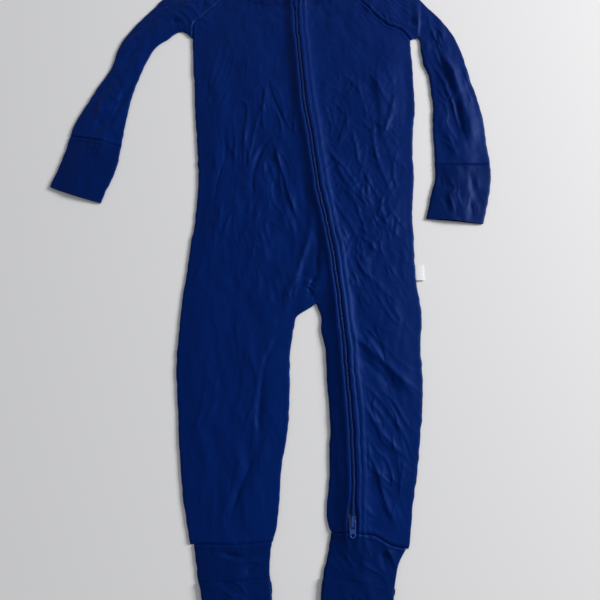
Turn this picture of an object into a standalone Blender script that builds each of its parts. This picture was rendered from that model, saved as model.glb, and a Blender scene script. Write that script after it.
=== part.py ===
"""A child's one-piece pajama with a diagonal zip, laid flat on its back.

Metres, +Z up. +Y runs to the neck and +X to the wearer's left. The origin lies on the
underside of the back, on the middle line between neck and feet. "Right" and "left" are
the wearer's. The lower layer lies flat on the surface, and the upper layer lies on it,
raised along the zip and along the largest folds.
"""

import math

import bmesh
import bpy
import numpy as np
from mathutils import Vector

MM = 0.001

# Driving dimensions, in millimetres until MM turns them into metres.
CLOTH = 1.0  # the wall of every cloth piece
SEAM = 0.3  # the gap between two pieces that are sewn together
LOFT = 1.5  # how far the upper layer rises above the side seams
LOFT_REACH = 14.0  # how far in from the edge it has risen
ZIP_LIFT = 2.4  # how far the zip's ridge stands above that
ZIP_SPREAD = 13.0  # half the ridge's width, with a flattened crest
ZIP_FADE_Y = (-266.0, -242.0)  # the ridge dies away here, over the left leg's cuff
FOLD_TURN = 1.2  # how far from a fold's edge the cloth starts to turn
BACK_SHARES = (0.42, 0.47)  # where the inseam's two columns end at the neck, across the piece
FRONT_SHARES = (0.72, 0.80)
BAND_WIDTH = 15.0  # the neckband's height
BAND_GAP = 0.5  # its gap to what it is sewn to, wider for its folds at the shoulders
BAND_LEAN = 60.0  # the band leans by one part in one at this distance from the middle
CUFF_END_Y = -326.0
COVER_TURN = 1.5  # how far in from the cuff's end the foot cover has turned over it
COVER_LIP = 0.4  # the height of the cover's outer turn, as a share of the wall

LABEL_SIZE = (8.0, 15.5)
LABEL_TOP = -2.5
LABEL_HEIGHTS = (0.5, 0.2)  # the height of its underside at the seam and at its end

# Each row is a section across torso and legs, from the hem up to the underarm.
# Columns: right side, right inseam, left inseam, zip and left side, each as x and y.
# Above the crotch the two inseam columns run on through the cloth.
SECTION_COLUMNS = ("side_right", "inseam_right", "inseam_left", "zip", "side_left")
SECTIONS = (
    ("hem", -94.6, -254.4, -25.3, -252.0, 25.3, -244.4, 43.4, -243.4, 91.4, -257.4),
    ("ankle", -101.9, -226, -21.0, -226, 22.0, -226, 44.2, -226, 97.3, -226),
    ("shin", -107.3, -189, -17.5, -189, 24.8, -189, 45.5, -189, 103.0, -189),
    ("knee", -111.2, -150, -12.0, -150, 26.5, -150, 44.2, -150, 108.8, -150),
    ("thigh", -114.7, -112, -10.8, -112, 22.8, -112, 41.6, -112, 110.2, -112),
    ("thigh_top", -115.4, -84, -10.2, -84, 22.3, -84, 39.4, -84, 111.2, -84),
    ("inseam_top", -115.0, -65, -6.8, -65, 19.3, -66, 37.9, -66, 112.1, -66),
    ("notch", -113.6, -52, -2.0, -52.5, 18.3, -53, 36.8, -53, 112.2, -53),
    ("crotch", -112.8, -42, 10.4, -42.5, 16.6, -43, 35.8, -42, 111.8, -42),
    ("hip", -110.8, -20, 4.0, -20, 12.6, -20, 33.5, -20, 109.9, -20),
    ("belly", -108.1, 13, -4.0, 13, 6.8, 13, 29.2, 13, 109.2, 13),
    ("waist", -104.6, 44, -10.0, 44, 1.2, 44, 23.0, 44, 109.6, 44),
    ("rib", -102.8, 75, -16.0, 75, -4.8, 75, 17.2, 75, 111.2, 75),
    ("lower_chest", -104.3, 108, -21.0, 108, -9.8, 108, 12.4, 108, 112.6, 108),
    ("chest", -108.2, 150, -27.0, 150, -15.8, 150, 6.5, 150, 114.7, 150),
    ("upper_chest", -110.9, 190, -32.0, 190, -20.6, 190, 1.6, 190, 117.0, 190),
    ("armhole", -114.3, 224, -36.0, 224, -24.2, 224, -1.9, 224, 115.7, 224),
)
CROTCH_ROW = 8

# Each row is a section of the shoulder, from the underarm to the neck. Columns: the front
# seam of each sleeve, its back seam and its fold along the shoulder, then the zip.
SHOULDER_COLUMNS = (
    "front_right", "back_right", "fold_right", "front_left", "back_left", "fold_left", "zip",
)
SHOULDER = (
    ("underarm", -115.6, 249, -115.6, 249, -147, 298.6,
     115.8, 247.5, 115.8, 247.5, 133, 291, -3.8, 247),
    ("seam_1", -115.5, 257, -110.0, 266, -136, 305.5,
     107.0, 258.4, 107.0, 262, 122, 304, -4.8, 255),
    ("seam_2", -115.0, 266, -99.0, 284, -124, 312.5,
     95.0, 263.8, 94.5, 279, 108, 313, -5.6, 263),
    ("seam_3", -106.0, 276, -86.0, 302, -109, 319.5,
     84.0, 273.3, 81.0, 297, 92, 320.5, -6.3, 271.5),
    ("seam_4", -93.0, 289.5, -73.0, 320, -91, 326,
     70.5, 287.5, 62.0, 319, 72, 328, -6.9, 280.5),
    ("neck", -79.3, 303, -61.0, 335, -73, 331,
     57.0, 301.5, 40.0, 337, 51, 332.5, -7.3, 289.5),
)
FRONT_DIP_RIGHT = 7.5  # how far the front neckline sags below its chord
FRONT_DIP_LEFT = 4.0
BACK_DIP = 5.0

# Each row is a section of a tube, as x and y of its seam edge and of its folded edge.
SLEEVE_RIGHT = (
    ("wrist", -182.0, 122.6, -234.8, 134.6),
    ("forearm_1", -180.5, 138, -232.0, 146),
    ("forearm_2", -178.5, 160, -223.0, 166),
    ("forearm_3", -175.0, 182, -211.6, 190),
    ("elbow", -169.0, 203, -199.5, 213),
    ("upper_1", -161.0, 224, -192.4, 238.6),
    ("upper_2", -154.0, 238, -184.0, 255),
    ("upper_3", -143.0, 247.5, -172.5, 271.5),
    ("armpit", -125.6, 257.5, -159.0, 287),
)
SLEEVE_LEFT = (
    ("wrist", 133.4, 101.0, 189.8, 102.6),
    ("forearm_1", 134.5, 125, 188.2, 127),
    ("forearm_2", 134.2, 152, 185.6, 153),
    ("forearm_3", 134.3, 178, 180.7, 179),
    ("elbow", 133.2, 203, 175.0, 206),
    ("upper_1", 128.3, 217, 169.0, 231),
    ("upper_2", 126.7, 234, 160.0, 257),
    ("armpit", 124.4, 249.5, 146.0, 276),
)
HAND_CUFF_RIGHT = (
    ("end", -198.3, 60.9, -249.6, 79.1),
    ("middle", -191.0, 82.5, -243.0, 100.8),
    ("upper", -184.2, 105.2, -238.6, 119.6),
    ("seam", -182.1, 122.3, -234.9, 134.3),
)
HAND_CUFF_LEFT = (
    ("end", 123.4, 45.1, 178.1, 39.8),
    ("middle", 128.7, 70.5, 184.0, 66.0),
    ("upper", 133.0, 90.0, 188.0, 85.0),
    ("seam", 133.4, 100.7, 189.8, 102.3),
)
LEG_CUFF_RIGHT = (
    ("end", -27.0, CUFF_END_Y, -80.0, CUFF_END_Y),
    ("lower", -25.9, -298.2, -84.2, -298.2),
    ("cover_edge", -26.8, -280.4, -87.6, -284.4),
    ("upper", -26.3, -267.0, -90.6, -270.7),
    ("seam", -25.4, -252.35, -94.4, -254.75),
)
LEG_CUFF_LEFT = (
    ("end", 16.0, CUFF_END_Y, 76.0, CUFF_END_Y),
    ("lower", 16.3, -298.2, 78.8, -298.2),
    ("cover_edge", 18.4, -280.0, 79.6, -288.0),
    ("upper", 21.0, -267.5, 83.6, -272.5),
    ("seam", 25.4, -244.75, 91.1, -257.7),
)

# The largest folds of the upper layer: from a point to a point, height and half width.
# A negative height is a trough.
FOLDS = (
    ("beside_zip_upper", -12, 165, -18, 60, -1.0, 11),
    ("beside_zip_lower", -18, 60, 2, -30, -1.0, 11),
    ("belly_ridge", 12, 95, -2, 25, 1.0, 9),
    ("rib_ridge", -36, 210, -40, 150, 0.8, 6),
    ("crotch_ridge", -4, -36, 10, -22, 1.4, 5),
    ("chest_ridge", 90, 205, 72, 120, 1.2, 7),
    ("chest_trough", 66, 215, 74, 150, -1.0, 6),
    ("thigh_ridge", 56, -70, 98, -150, 2.0, 8),
    ("thigh_trough", 52, -92, 84, -160, -1.0, 7),
    ("shin_ridge", 62, -160, 88, -235, 1.0, 6),
    ("sleeve_left_ridge", 128, 262, 146, 205, 1.0, 6),
    ("sleeve_left_trough", 143, 272, 166, 150, -1.2, 7),
    ("sleeve_right_trough", -158, 215, -178, 170, -1.2, 6),
    ("sleeve_right_ridge", -176, 232, -198, 180, 1.0, 6),
)

# The zip.
LIP_GAP = 1.2  # from the zip's middle to each front's edge
LIP_GAP_TOP = 4.6  # the same at the neckband's top
LIP_GAP_SLIDER = 3.9  # the same beside the slider
LIP_SLIDER_REACH = 9.0  # how far beyond the slider's middle the lips stay open, then close
TAPE_Y = (-242.8, 304.0)
TAPE_EDGES = (2.0, 6.0, 10.0)  # the tape's columns, from the zip's middle
TAPE_DROP = 0.55  # from the fronts' underside to the tape's top
COIL_TOP_Y = 296.0
COIL_HALF = 1.7
COIL_HEIGHT = 1.3
COIL_CROWN = 0.45  # how far its top falls to its edges
COIL_DROP = 0.4  # from the fronts' underside to the coil's top
COIL_INTO_SLIDER = 3.6
GUARD_TIP_Y = 281.0
GUARD_TOP_Y = 304.6
GUARD_ROWS = (1.5, 2.5, 5.5, 10.0, 16.0)  # its rows above the tip
GUARD_GAP = 0.4  # to each lip
GUARD_TIP_HALF = 0.6
GUARD_CROWN = 0.35
GUARD_DROP = 0.05  # its underside's height above the fronts' underside

SLIDER_Y = (-229.0, -241.2)  # its nose, which takes the coil in, and its tail
SLIDER_HALF = (3.3, 2.4)  # half its width at the nose and at the tail
SLIDER_NOSE = (0.55, 1.8, 4.5)  # its flat nose as a share, and where its shoulders start and end
BACK_PLATE_INSET = 0.2
PLATE = 0.9  # the thickness of the slider's two plates
PLATE_HEIGHTS = (-2.0, -0.1)  # the lower and upper plates' inner faces, from the ridge
POST_Y = -237.4
POST_HALF = (1.4, 3.2)
BRIDGE_ENDS = (1.6, 1.4)  # its distance from the nose and from the tail
BRIDGE_TOP = 2.6  # the bridge's top above the upper plate
BRIDGE_CORNER = 0.9
BRIDGE_ROOT = 0.3  # how deep it stands in the plate
BRIDGE_THICK = 0.8
BRIDGE_HALF = 1.0
PILLAR = 1.3
HINGE_Y = -234.4
PULL_THICK = 0.9
PULL_HALF = (3.1, 2.7)  # half the pull tab's width at the bar and at its round end
PULL_CORNER = 1.0
PULL_LENGTH = 14.8
PULL_BAR = 1.1  # the bar that the bridge holds
PULL_CLEAR = 0.35  # the gap between the pull tab and the slider
WINDOW_HALF = 1.7
WINDOW_END = -6.8  # its lower edge, from the bar's axis
WINDOW_CORNER = 0.4
SLOT_HALF = 1.45
SLOT_ENDS = (3.7, 1.1)  # its upper and lower edges, from the tab's end
SLOT_CORNER = 1.25

COLOURS = {  # colour, roughness and metallic value
    "jersey": ((0.001, 0.0125, 0.108), 0.62, 0.0),
    "rib": ((0.001, 0.0115, 0.099), 0.68, 0.0),
    "tape": ((0.001, 0.008, 0.07), 0.7, 0.0),
    "coil": ((0.004, 0.026, 0.15), 0.35, 0.0),
    "painted_metal": ((0.006, 0.045, 0.25), 0.3, 0.4),
    "label": ((0.72, 0.72, 0.74), 0.75, 0.0),
}


def clear_scene():
    for thing in list(bpy.data.objects):
        bpy.data.objects.remove(thing, do_unlink=True)


def material(name):
    """The named finish as a Principled material."""
    made = bpy.data.materials.get(name)
    if made:
        return made
    colour, roughness, metallic = COLOURS[name]
    made = bpy.data.materials.new(name)
    made.use_nodes = True
    shader = made.node_tree.nodes["Principled BSDF"]
    shader.inputs["Base Color"].default_value = (*colour, 1)
    shader.inputs["Roughness"].default_value = roughness
    shader.inputs["Metallic"].default_value = metallic
    return made


def column(table, names, name):
    """One column pair of a table as points, a row for each section."""
    start = 1 + 2 * names.index(name)
    return np.array([row[start : start + 2] for row in table], float)


def section(name):
    return column(SECTIONS, SECTION_COLUMNS, name)


def shoulder(name):
    return column(SHOULDER, SHOULDER_COLUMNS, name)


def tube_edges(table):
    """A tube's seam edge and its folded edge."""
    return column(table, ("seam", "fold"), "seam"), column(table, ("seam", "fold"), "fold")


ZIP_LINE = np.vstack([section("zip"), shoulder("zip"), [[-7.4, 306.0]]])


def zip_x(y):
    return np.interp(y, ZIP_LINE[:, 1], ZIP_LINE[:, 0])


def lip_gap(y):
    """Half the gap between the fronts' edges: wider round the guard and the slider."""
    guard = np.clip((y - GUARD_TIP_Y) / (GUARD_TOP_Y - GUARD_TIP_Y), 0, 1)
    away = np.abs(y - sum(SLIDER_Y) / 2) / LIP_SLIDER_REACH
    slider = np.exp(-(np.maximum(away - 1, 0) ** 2))
    gap = LIP_GAP + (LIP_GAP_TOP - LIP_GAP) * guard
    return gap + (LIP_GAP_SLIDER - LIP_GAP) * slider


def to_line(points, start, end):
    """Each point's distance from a straight stretch."""
    along = end - start
    share = np.clip((points - start) @ along / (along @ along), 0, 1)
    return np.linalg.norm(points - start - share[..., None] * along, axis=-1)


def edge_lines():
    """The edges where the upper layer comes down to the lower one."""
    crotch = section("inseam_right")[: CROTCH_ROW + 1], section("inseam_left")[: CROTCH_ROW + 1]
    lines = [section("side_right"), section("side_left"), np.vstack([crotch[0], crotch[1][::-1]])]
    sleeves = ((SLEEVE_RIGHT, "right"), (SLEEVE_LEFT, "left"))
    for table, side in sleeves:
        seam, fold = tube_edges(table)
        lines.append(np.vstack([seam, shoulder("front_" + side)[:1]]))
        lines.append(np.vstack([fold, shoulder("fold_" + side)]))
    for table in (HAND_CUFF_RIGHT, HAND_CUFF_LEFT, LEG_CUFF_RIGHT, LEG_CUFF_LEFT):
        lines.extend(tube_edges(table))
    return lines


EDGES = edge_lines()


def upper_layer(points):
    """The height of the upper layer's underside over points of the plan."""
    near = np.full(points.shape[:-1], 1e9)
    for line in EDGES:
        for start, end in zip(line[:-1], line[1:]):
            near = np.minimum(near, to_line(points, start, end))
    rise = 1 - np.exp(-((near / LOFT_REACH) ** 2))
    low, high = ZIP_FADE_Y
    fade = np.clip((points[..., 1] - low) / (high - low), 0, 1)
    aside = (points[..., 0] - zip_x(points[..., 1])) / ZIP_SPREAD
    height = LOFT * rise + ZIP_LIFT * fade * np.exp(-(aside**4))
    for _, x0, y0, x1, y1, high, wide in FOLDS:
        away = to_line(points, np.array([x0, y0], float), np.array([x1, y1], float))
        height += high * rise * np.exp(-((away / wide) ** 2))
    return CLOTH + SEAM + np.maximum(height, 0)


def across(left, right, columns, dip=None):
    """Rows of points between two edges, evenly spread, sagging by dip at the top rows."""
    share = np.linspace(0, 1, columns + 1)[None, :, None]
    plan = left[:, None] * (1 - share) + right[:, None] * share
    if dip is not None:
        plan[..., 1] -= np.outer(dip, np.sin(math.pi * share[0, :, 0]))
    return plan


def toward(points, other, distance):
    """Points moved towards others."""
    step = other - points
    return points + step / np.linalg.norm(step, axis=-1, keepdims=True) * distance


def beside(line, distance):
    """A line moved to its right by distance, as seen by one who walks along it."""
    step = np.gradient(line, axis=0)
    step /= np.linalg.norm(step, axis=1, keepdims=True)
    return line + distance * np.stack([step[:, 1], -step[:, 0]], 1)


def raised(points, height):
    return np.concatenate([points, np.broadcast_to(height, points.shape[:-1])[..., None]], -1)


def cloth(name, inner, outer, finish, keep=None):
    """A closed wall between two grids of points. keep says which cells are cloth."""
    rows, columns = inner.shape[:2]
    keep = np.ones((rows - 1, columns - 1), bool) if keep is None else keep
    index = np.arange(rows * columns).reshape(rows, columns)
    corners = [index[:-1, :-1], index[:-1, 1:], index[1:, 1:], index[1:, :-1]]
    cells = np.stack([c[keep] for c in corners], 1)
    edges = np.concatenate([cells[:, [i, (i + 1) % 4]] for i in range(4)])
    there = {tuple(edge) for edge in edges.tolist()}
    rim = [edge for edge in there if edge[::-1] not in there]
    behind = rows * columns
    faces = cells.tolist() + (cells[:, ::-1] + behind).tolist()
    faces += [(b, a, a + behind, b + behind) for a, b in sorted(rim)]
    mesh = bpy.data.meshes.new(name)
    points = np.concatenate([outer.reshape(-1, 3), inner.reshape(-1, 3)]) * MM
    mesh.from_pydata(points.tolist(), [], faces)
    work = bmesh.new()
    work.from_mesh(mesh)
    loose = [v for v in work.verts if not v.link_faces]
    bmesh.ops.delete(work, geom=loose, context="VERTS")
    bmesh.ops.recalc_face_normals(work, faces=work.faces)
    work.to_mesh(mesh)
    work.free()
    mesh.shade_smooth()
    mesh.set_sharp_from_angle(angle=math.radians(40))
    return place(name, mesh, finish)


def place(name, data, finish):
    data.materials.append(material(finish))
    made = bpy.data.objects.new(name, data)
    bpy.context.scene.collection.objects.link(made)
    return made


def levels(layer, points):
    """The inner and outer heights of the cloth in the upper or the lower layer."""
    if layer == "lower":
        return CLOTH, 0.0
    under = upper_layer(points)
    return under, under + CLOTH


def wrapped(segments):
    """The inner and outer points of cloth that turns from layer to layer at its folds.

    Each segment is a layer and its plan, and neighbours share the column of their fold.
    """
    inner, outer = [], []
    middle = CLOTH + SEAM / 2
    for number, (layer, plan) in enumerate(segments):
        columns = [plan[:, j] for j in range(plan.shape[1])]
        if number:
            columns[0] = toward(columns[0], columns[1], FOLD_TURN)
        if number < len(segments) - 1:
            columns[-1] = toward(columns[-1], columns[-2], FOLD_TURN)
        for points in columns:
            low, high = levels(layer, points)
            inner.append(raised(points, low))
            outer.append(raised(points, high))
        if number < len(segments) - 1:
            fold = plan[:, -1]
            inner.append(raised(toward(fold, plan[:, -2], CLOTH), middle))
            outer.append(raised(fold, middle))
    return np.stack(inner, 1), np.stack(outer, 1)


def body_rows(side, seam=None, inside=0.0):
    """An edge of the body from hem to neck, moved inside its sleeve's seam."""
    return np.vstack([section(side), beside(shoulder(seam or side), inside)])


def free_rows(left, right, share):
    """Above the crotch, where no seam runs, points at a share of the way across."""
    return left * (1 - share) + right * share


def lip_edge(line, side):
    """The zip's line moved to the edge of the right (-1) or the left (1) front.

    Its lowest point moves along the hem, which bends at the zip.
    """
    gap = side * lip_gap(line[:, 1])
    moved = line.copy()
    moved[:, 0] += gap
    if line[0, 1] == ZIP_LINE[0, 1]:
        hem = section("side_left" if side > 0 else "inseam_left")[0] - line[0]
        moved[0, 1] += gap[0] * hem[1] / hem[0]
    return moved


def two_legged(left, inseam_right, inseam_left, right, counts, dip):
    """A plan from side to side whose cells part below the crotch, and those cells."""
    plan = np.concatenate(
        [across(left, inseam_right, counts[0]), across(inseam_left, right, counts[1])], 1
    )
    share = np.linspace(0, 1, plan.shape[1])
    plan[..., 1] -= np.outer(dip, np.sin(math.pi * share))
    keep = np.ones((plan.shape[0] - 1, plan.shape[1] - 1), bool)
    keep[:CROTCH_ROW, counts[0]] = False
    return plan, keep


def dips(depth):
    """The sag of each row: none up to the underarm, and the whole of it at the neck."""
    count = len(SHOULDER)
    return np.concatenate([np.zeros(len(SECTIONS)), depth * (np.arange(count) / (count - 1)) ** 1.5])


def inseam(name, left, right, share):
    """An inseam column that runs on above the crotch at an even share of the width."""
    rows = section(name)
    top = free_rows(left[len(rows) :], right[len(rows) :], share)
    return np.vstack([rows, top])


def make_back():
    left = body_rows("side_right", "back_right", SEAM / 2)
    right = body_rows("side_left", "back_left", -SEAM / 2)
    legs = (
        inseam(name, left, right, share)
        for name, share in zip(("inseam_right", "inseam_left"), BACK_SHARES)
    )
    plan, keep = two_legged(left, *legs, right, (5, 5), dips(BACK_DIP))
    cloth("back", raised(plan, CLOTH), raised(plan, 0), "jersey", keep)
    return plan[-1]


def make_front_right():
    left = body_rows("side_right", "front_right", SEAM / 2)
    right = lip_edge(body_rows("zip"), -1)
    legs = (
        inseam(name, left, right, share)
        for name, share in zip(("inseam_right", "inseam_left"), FRONT_SHARES)
    )
    plan, keep = two_legged(left, *legs, right, (8, 4), dips(FRONT_DIP_RIGHT))
    under = upper_layer(plan)
    cloth("front_right", raised(plan, under), raised(plan, under + CLOTH), "jersey", keep)
    return plan[-1]


def make_front_left():
    left = lip_edge(body_rows("zip"), 1)
    right = body_rows("side_left", "front_left", -SEAM / 2)
    plan = across(left, right, 11, dips(FRONT_DIP_LEFT))
    under = upper_layer(plan)
    cloth("front_left", raised(plan, under), raised(plan, under + CLOTH), "jersey")
    return plan[-1]


def make_sleeve(side, table, sign):
    """A raglan sleeve: upper layer, shoulder fold and lower layer. sign is 1 on the left."""
    seam, fold = tube_edges(table)
    gap = sign * SEAM / 2
    folds = np.vstack([fold, shoulder("fold_" + side)])
    front = across(np.vstack([seam, beside(shoulder("front_" + side), gap)]), folds, 7)
    back = across(folds, np.vstack([seam, beside(shoulder("back_" + side), gap)]), 4)
    inner, outer = wrapped([("upper", front), ("lower", back)])
    cloth("sleeve_" + side, inner, outer, "jersey")
    return front[-1], back[-1]


def hem_rise(x):
    """How far the upper layer's hem on the left leg rises above a straight line at the zip."""
    inner, peak, outer = (section(name)[0] for name in ("inseam_left", "zip", "side_left"))
    straight = np.interp(peak[0], (inner[0], outer[0]), (inner[1], outer[1]))
    return np.interp(x, (inner[0], peak[0], outer[0]), (0, peak[1] - straight, 0))


def make_cuff(name, table):
    """A flat tube of rib. The left leg's one follows its bent hem on the upper layer."""
    seam, fold = tube_edges(table)
    upper = across(seam, fold, 6)
    if table is LEG_CUFF_LEFT:
        upper[-1, :, 1] += hem_rise(upper[-1, :, 0])
    inner, outer = wrapped([("upper", upper), ("lower", across(fold, seam, 3))])
    cloth(name, inner, outer, "rib")


def make_foot_cover(name, table):
    """The layer turned over the cuff: from the surface, round its end and over its top."""
    seam, fold = tube_edges(table)
    plan = across(seam[:3], fold[:3], 6)
    under = upper_layer(plan) + CLOTH + SEAM
    end = plan[0] - [0, SEAM]
    lip = end - [0, CLOTH]
    inner = [raised(end, 0.0), raised(end, under[0])]
    outer = [raised(lip, 0.0), raised(lip, under[0] + CLOTH * COVER_LIP)]
    crest = plan[0] + [0, COVER_TURN]
    inner += [raised(crest, under[0])] + [raised(plan[k], under[k]) for k in (1, 2)]
    outer += [raised(crest, under[0] + CLOTH)] + [raised(plan[k], under[k] + CLOTH) for k in (1, 2)]
    cloth(name, np.stack(inner), np.stack(outer), "rib")


def make_neckband(front_right, sleeve_right, back, sleeve_left, front_left):
    """The band round the neck, from the zip's right lip to its left one.

    Its lower edge follows the pieces it is sewn to. Its upper edge leans to the middle.
    """
    middle = float(zip_x(GUARD_TOP_Y))
    segments = (
        ("upper", np.vstack([front_right[::-1], sleeve_right[0][1:]])),
        ("lower", np.vstack([sleeve_right[1], back[1:-1], sleeve_left[1][::-1]])),
        ("upper", np.vstack([sleeve_left[0][::-1][:-1], front_left[::-1]])),
    )
    plans = []
    for layer, seam in segments:
        lean = np.stack([(middle - seam[:, 0]) / BAND_LEAN, np.ones(len(seam))], 1)
        lean /= np.linalg.norm(lean, axis=1, keepdims=True)
        rows = [seam + lean * distance for distance in (BAND_GAP, BAND_WIDTH / 2, BAND_WIDTH)]
        plans.append((layer, np.stack(rows)))
    for plan, side, end in ((plans[0][1], -1, 0), (plans[2][1], 1, -1)):
        plan[:, end] = lip_edge(np.stack([zip_x(plan[:, end, 1]), plan[:, end, 1]], 1), side)
    inner, outer = wrapped(plans)
    cloth("neckband", inner, outer, "rib")


def zip_rows(low, high):
    """The heights in y of the rows of a piece that follows the zip."""
    kept = ZIP_LINE[(ZIP_LINE[:, 1] > low + 2) & (ZIP_LINE[:, 1] < high - 2), 1]
    return np.concatenate([[low], kept, [high]])


def beside_zip(rows, offsets):
    """Points beside the zip's middle, at each row's y and each distance in x."""
    return np.stack(np.broadcast_arrays(zip_x(rows)[:, None] + offsets, rows[:, None]), -1)


def make_tapes():
    rows = zip_rows(*TAPE_Y)
    for side, sign in (("right", -1), ("left", 1)):
        plan = beside_zip(rows, np.array(TAPE_EDGES) * sign)
        over = upper_layer(plan) - TAPE_DROP
        cloth("zip_tape_" + side, raised(plan, over - CLOTH), raised(plan, over), "tape")


def make_coil():
    """The closed coil as a low crowned strip, from the slider to the guard's foot."""
    rows = zip_rows(SLIDER_Y[0] - COIL_INTO_SLIDER, COIL_TOP_Y)
    share = np.array([-1.0, -0.45, 0.45, 1.0])
    crown = np.where(np.abs(share) < 1, 0, COIL_CROWN)
    plan = beside_zip(rows, share * COIL_HALF)
    top = upper_layer(beside_zip(rows, np.zeros(1))) - COIL_DROP
    under = top - COIL_HEIGHT + crown / 2
    cloth("zip_coil", raised(plan, under), raised(plan, top - crown), "coil")


def make_guard():
    """The tab over the zip's end: a rounded point between the lips, widening to the top."""
    rows = np.append(GUARD_TIP_Y + np.array(GUARD_ROWS), GUARD_TOP_Y)
    half = np.maximum(lip_gap(rows) - GUARD_GAP, GUARD_TIP_HALF)
    half[0] = GUARD_TIP_HALF
    share = np.linspace(-1, 1, 5)
    plan = beside_zip(rows, half[:, None] * share)
    under = upper_layer(beside_zip(rows, np.zeros(1))) + GUARD_DROP
    crown = GUARD_CROWN * (1 - share**2)
    cloth("zip_guard", raised(plan, under), raised(plan, under + CLOTH + crown), "jersey")


def make_label():
    """A folded woven tab that comes out of the left side seam."""
    wide, high = LABEL_SIZE
    rows = LABEL_TOP - np.linspace(high, 0, 4)
    side = section("side_left")
    edge = np.interp(rows, side[:, 1], side[:, 0]) + SEAM
    plan = edge[:, None] + np.linspace(0, wide, 4)
    plan = np.stack(np.broadcast_arrays(plan, rows[:, None]), -1)
    under = np.linspace(*LABEL_HEIGHTS, 4)
    cloth("label", raised(plan, under), raised(plan, under + CLOTH), "label")


def prism(name, outline, low, high, turned=False):
    """A block of the outline, from low to high in z; turned stands it across x."""
    points = [(x, y, z) for z in (low, high) for x, y in outline]
    if turned:
        points = [(z, x, y) for x, y, z in points]
    count = len(outline)
    faces = [tuple(range(count))[::-1], tuple(range(count, 2 * count))]
    for i in range(count):
        k = (i + 1) % count
        faces.append((i, k, k + count, i + count))
    mesh = bpy.data.meshes.new(name)
    mesh.from_pydata((np.array(points) * MM).tolist(), [], faces)
    work = bmesh.new()
    work.from_mesh(mesh)
    bmesh.ops.recalc_face_normals(work, faces=work.faces)
    work.to_mesh(mesh)
    work.free()
    made = bpy.data.objects.new(name, mesh)
    bpy.context.scene.collection.objects.link(made)
    return made


def shield(middle, inset=0.0):
    """The slider's plate: two shoulders at the nose, narrowing to a round tail."""
    nose, tail = SLIDER_Y[0] - inset, SLIDER_Y[1] + inset
    wide, narrow = SLIDER_HALF[0] - inset, SLIDER_HALF[1] - inset
    flat, start, end = SLIDER_NOSE
    points = [(-wide * flat, nose), (-wide, nose - start), (-wide, nose - end)]
    turns = np.linspace(math.pi, 2 * math.pi, 7)
    points += [(narrow * math.cos(a), tail + narrow + narrow * math.sin(a)) for a in turns]
    points += [(wide, nose - end), (wide, nose - start), (wide * flat, nose)]
    return [(middle + x, y) for x, y in points]


def slider_levels():
    """The middle of the slider in x, and the heights of its plates' inner faces."""
    middle = float(zip_x(HINGE_Y))
    ridge = float(upper_layer(np.array([middle, HINGE_Y])))
    return middle, ridge + PLATE_HEIGHTS[0], ridge + PLATE_HEIGHTS[1]


def make_slider():
    """Two plates round the tapes, a post between them, and the bridge for the pull tab."""
    middle, lower, upper = slider_levels()
    top = upper + PLATE
    body = prism("zip_slider", shield(middle), upper, top)
    tools = [prism("slider_back_plate", shield(middle, BACK_PLATE_INSET), lower - PLATE, lower)]
    turns = np.linspace(0, 2 * math.pi, 10, endpoint=False)
    wide, long = POST_HALF
    post = [(middle + wide * math.cos(a), POST_Y + long * math.sin(a)) for a in turns]
    tools.append(prism("slider_post", post, lower - PLATE / 2, top - PLATE / 2))
    nose, tail = SLIDER_Y[0] - BRIDGE_ENDS[0], SLIDER_Y[1] + BRIDGE_ENDS[1]
    floor, crest = top - BRIDGE_ROOT, top + BRIDGE_TOP
    arch = [
        (nose, floor), (nose, crest - BRIDGE_CORNER), (nose - BRIDGE_CORNER, crest),
        (tail + BRIDGE_CORNER, crest), (tail, crest - BRIDGE_CORNER), (tail, floor),
        (tail + PILLAR, floor), (tail + PILLAR, crest - BRIDGE_THICK),
        (nose - PILLAR, crest - BRIDGE_THICK), (nose - PILLAR, floor),
    ]
    bridge = prism("slider_bridge", arch, middle - BRIDGE_HALF, middle + BRIDGE_HALF, True)
    tools.append(bridge)
    for tool in tools:
        tool.hide_render = True
        tool.display_type = "WIRE"
        union = body.modifiers.new(tool.name, "BOOLEAN")
        union.operation = "UNION"
        union.object = tool
    body.data.materials.append(material("painted_metal"))


def rounded(halves, top, bottom, corners):
    """A closed outline from top to bottom, as x and y: half its width and its corners' radius
    at its top and at its bottom."""
    points = []
    high, low = halves
    for x, y, turn in ((high, top, 0), (-high, top, 90), (-low, bottom, 180), (low, bottom, 270)):
        corner = corners[0] if turn < 180 else corners[1]
        centre_x = x - math.copysign(corner, x)
        centre_y = y - corner if turn < 180 else y + corner
        for step in range(5):
            angle = math.radians(turn + 22.5 * step)
            points.append((centre_x + corner * math.cos(angle), centre_y + corner * math.sin(angle)))
    return points


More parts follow.
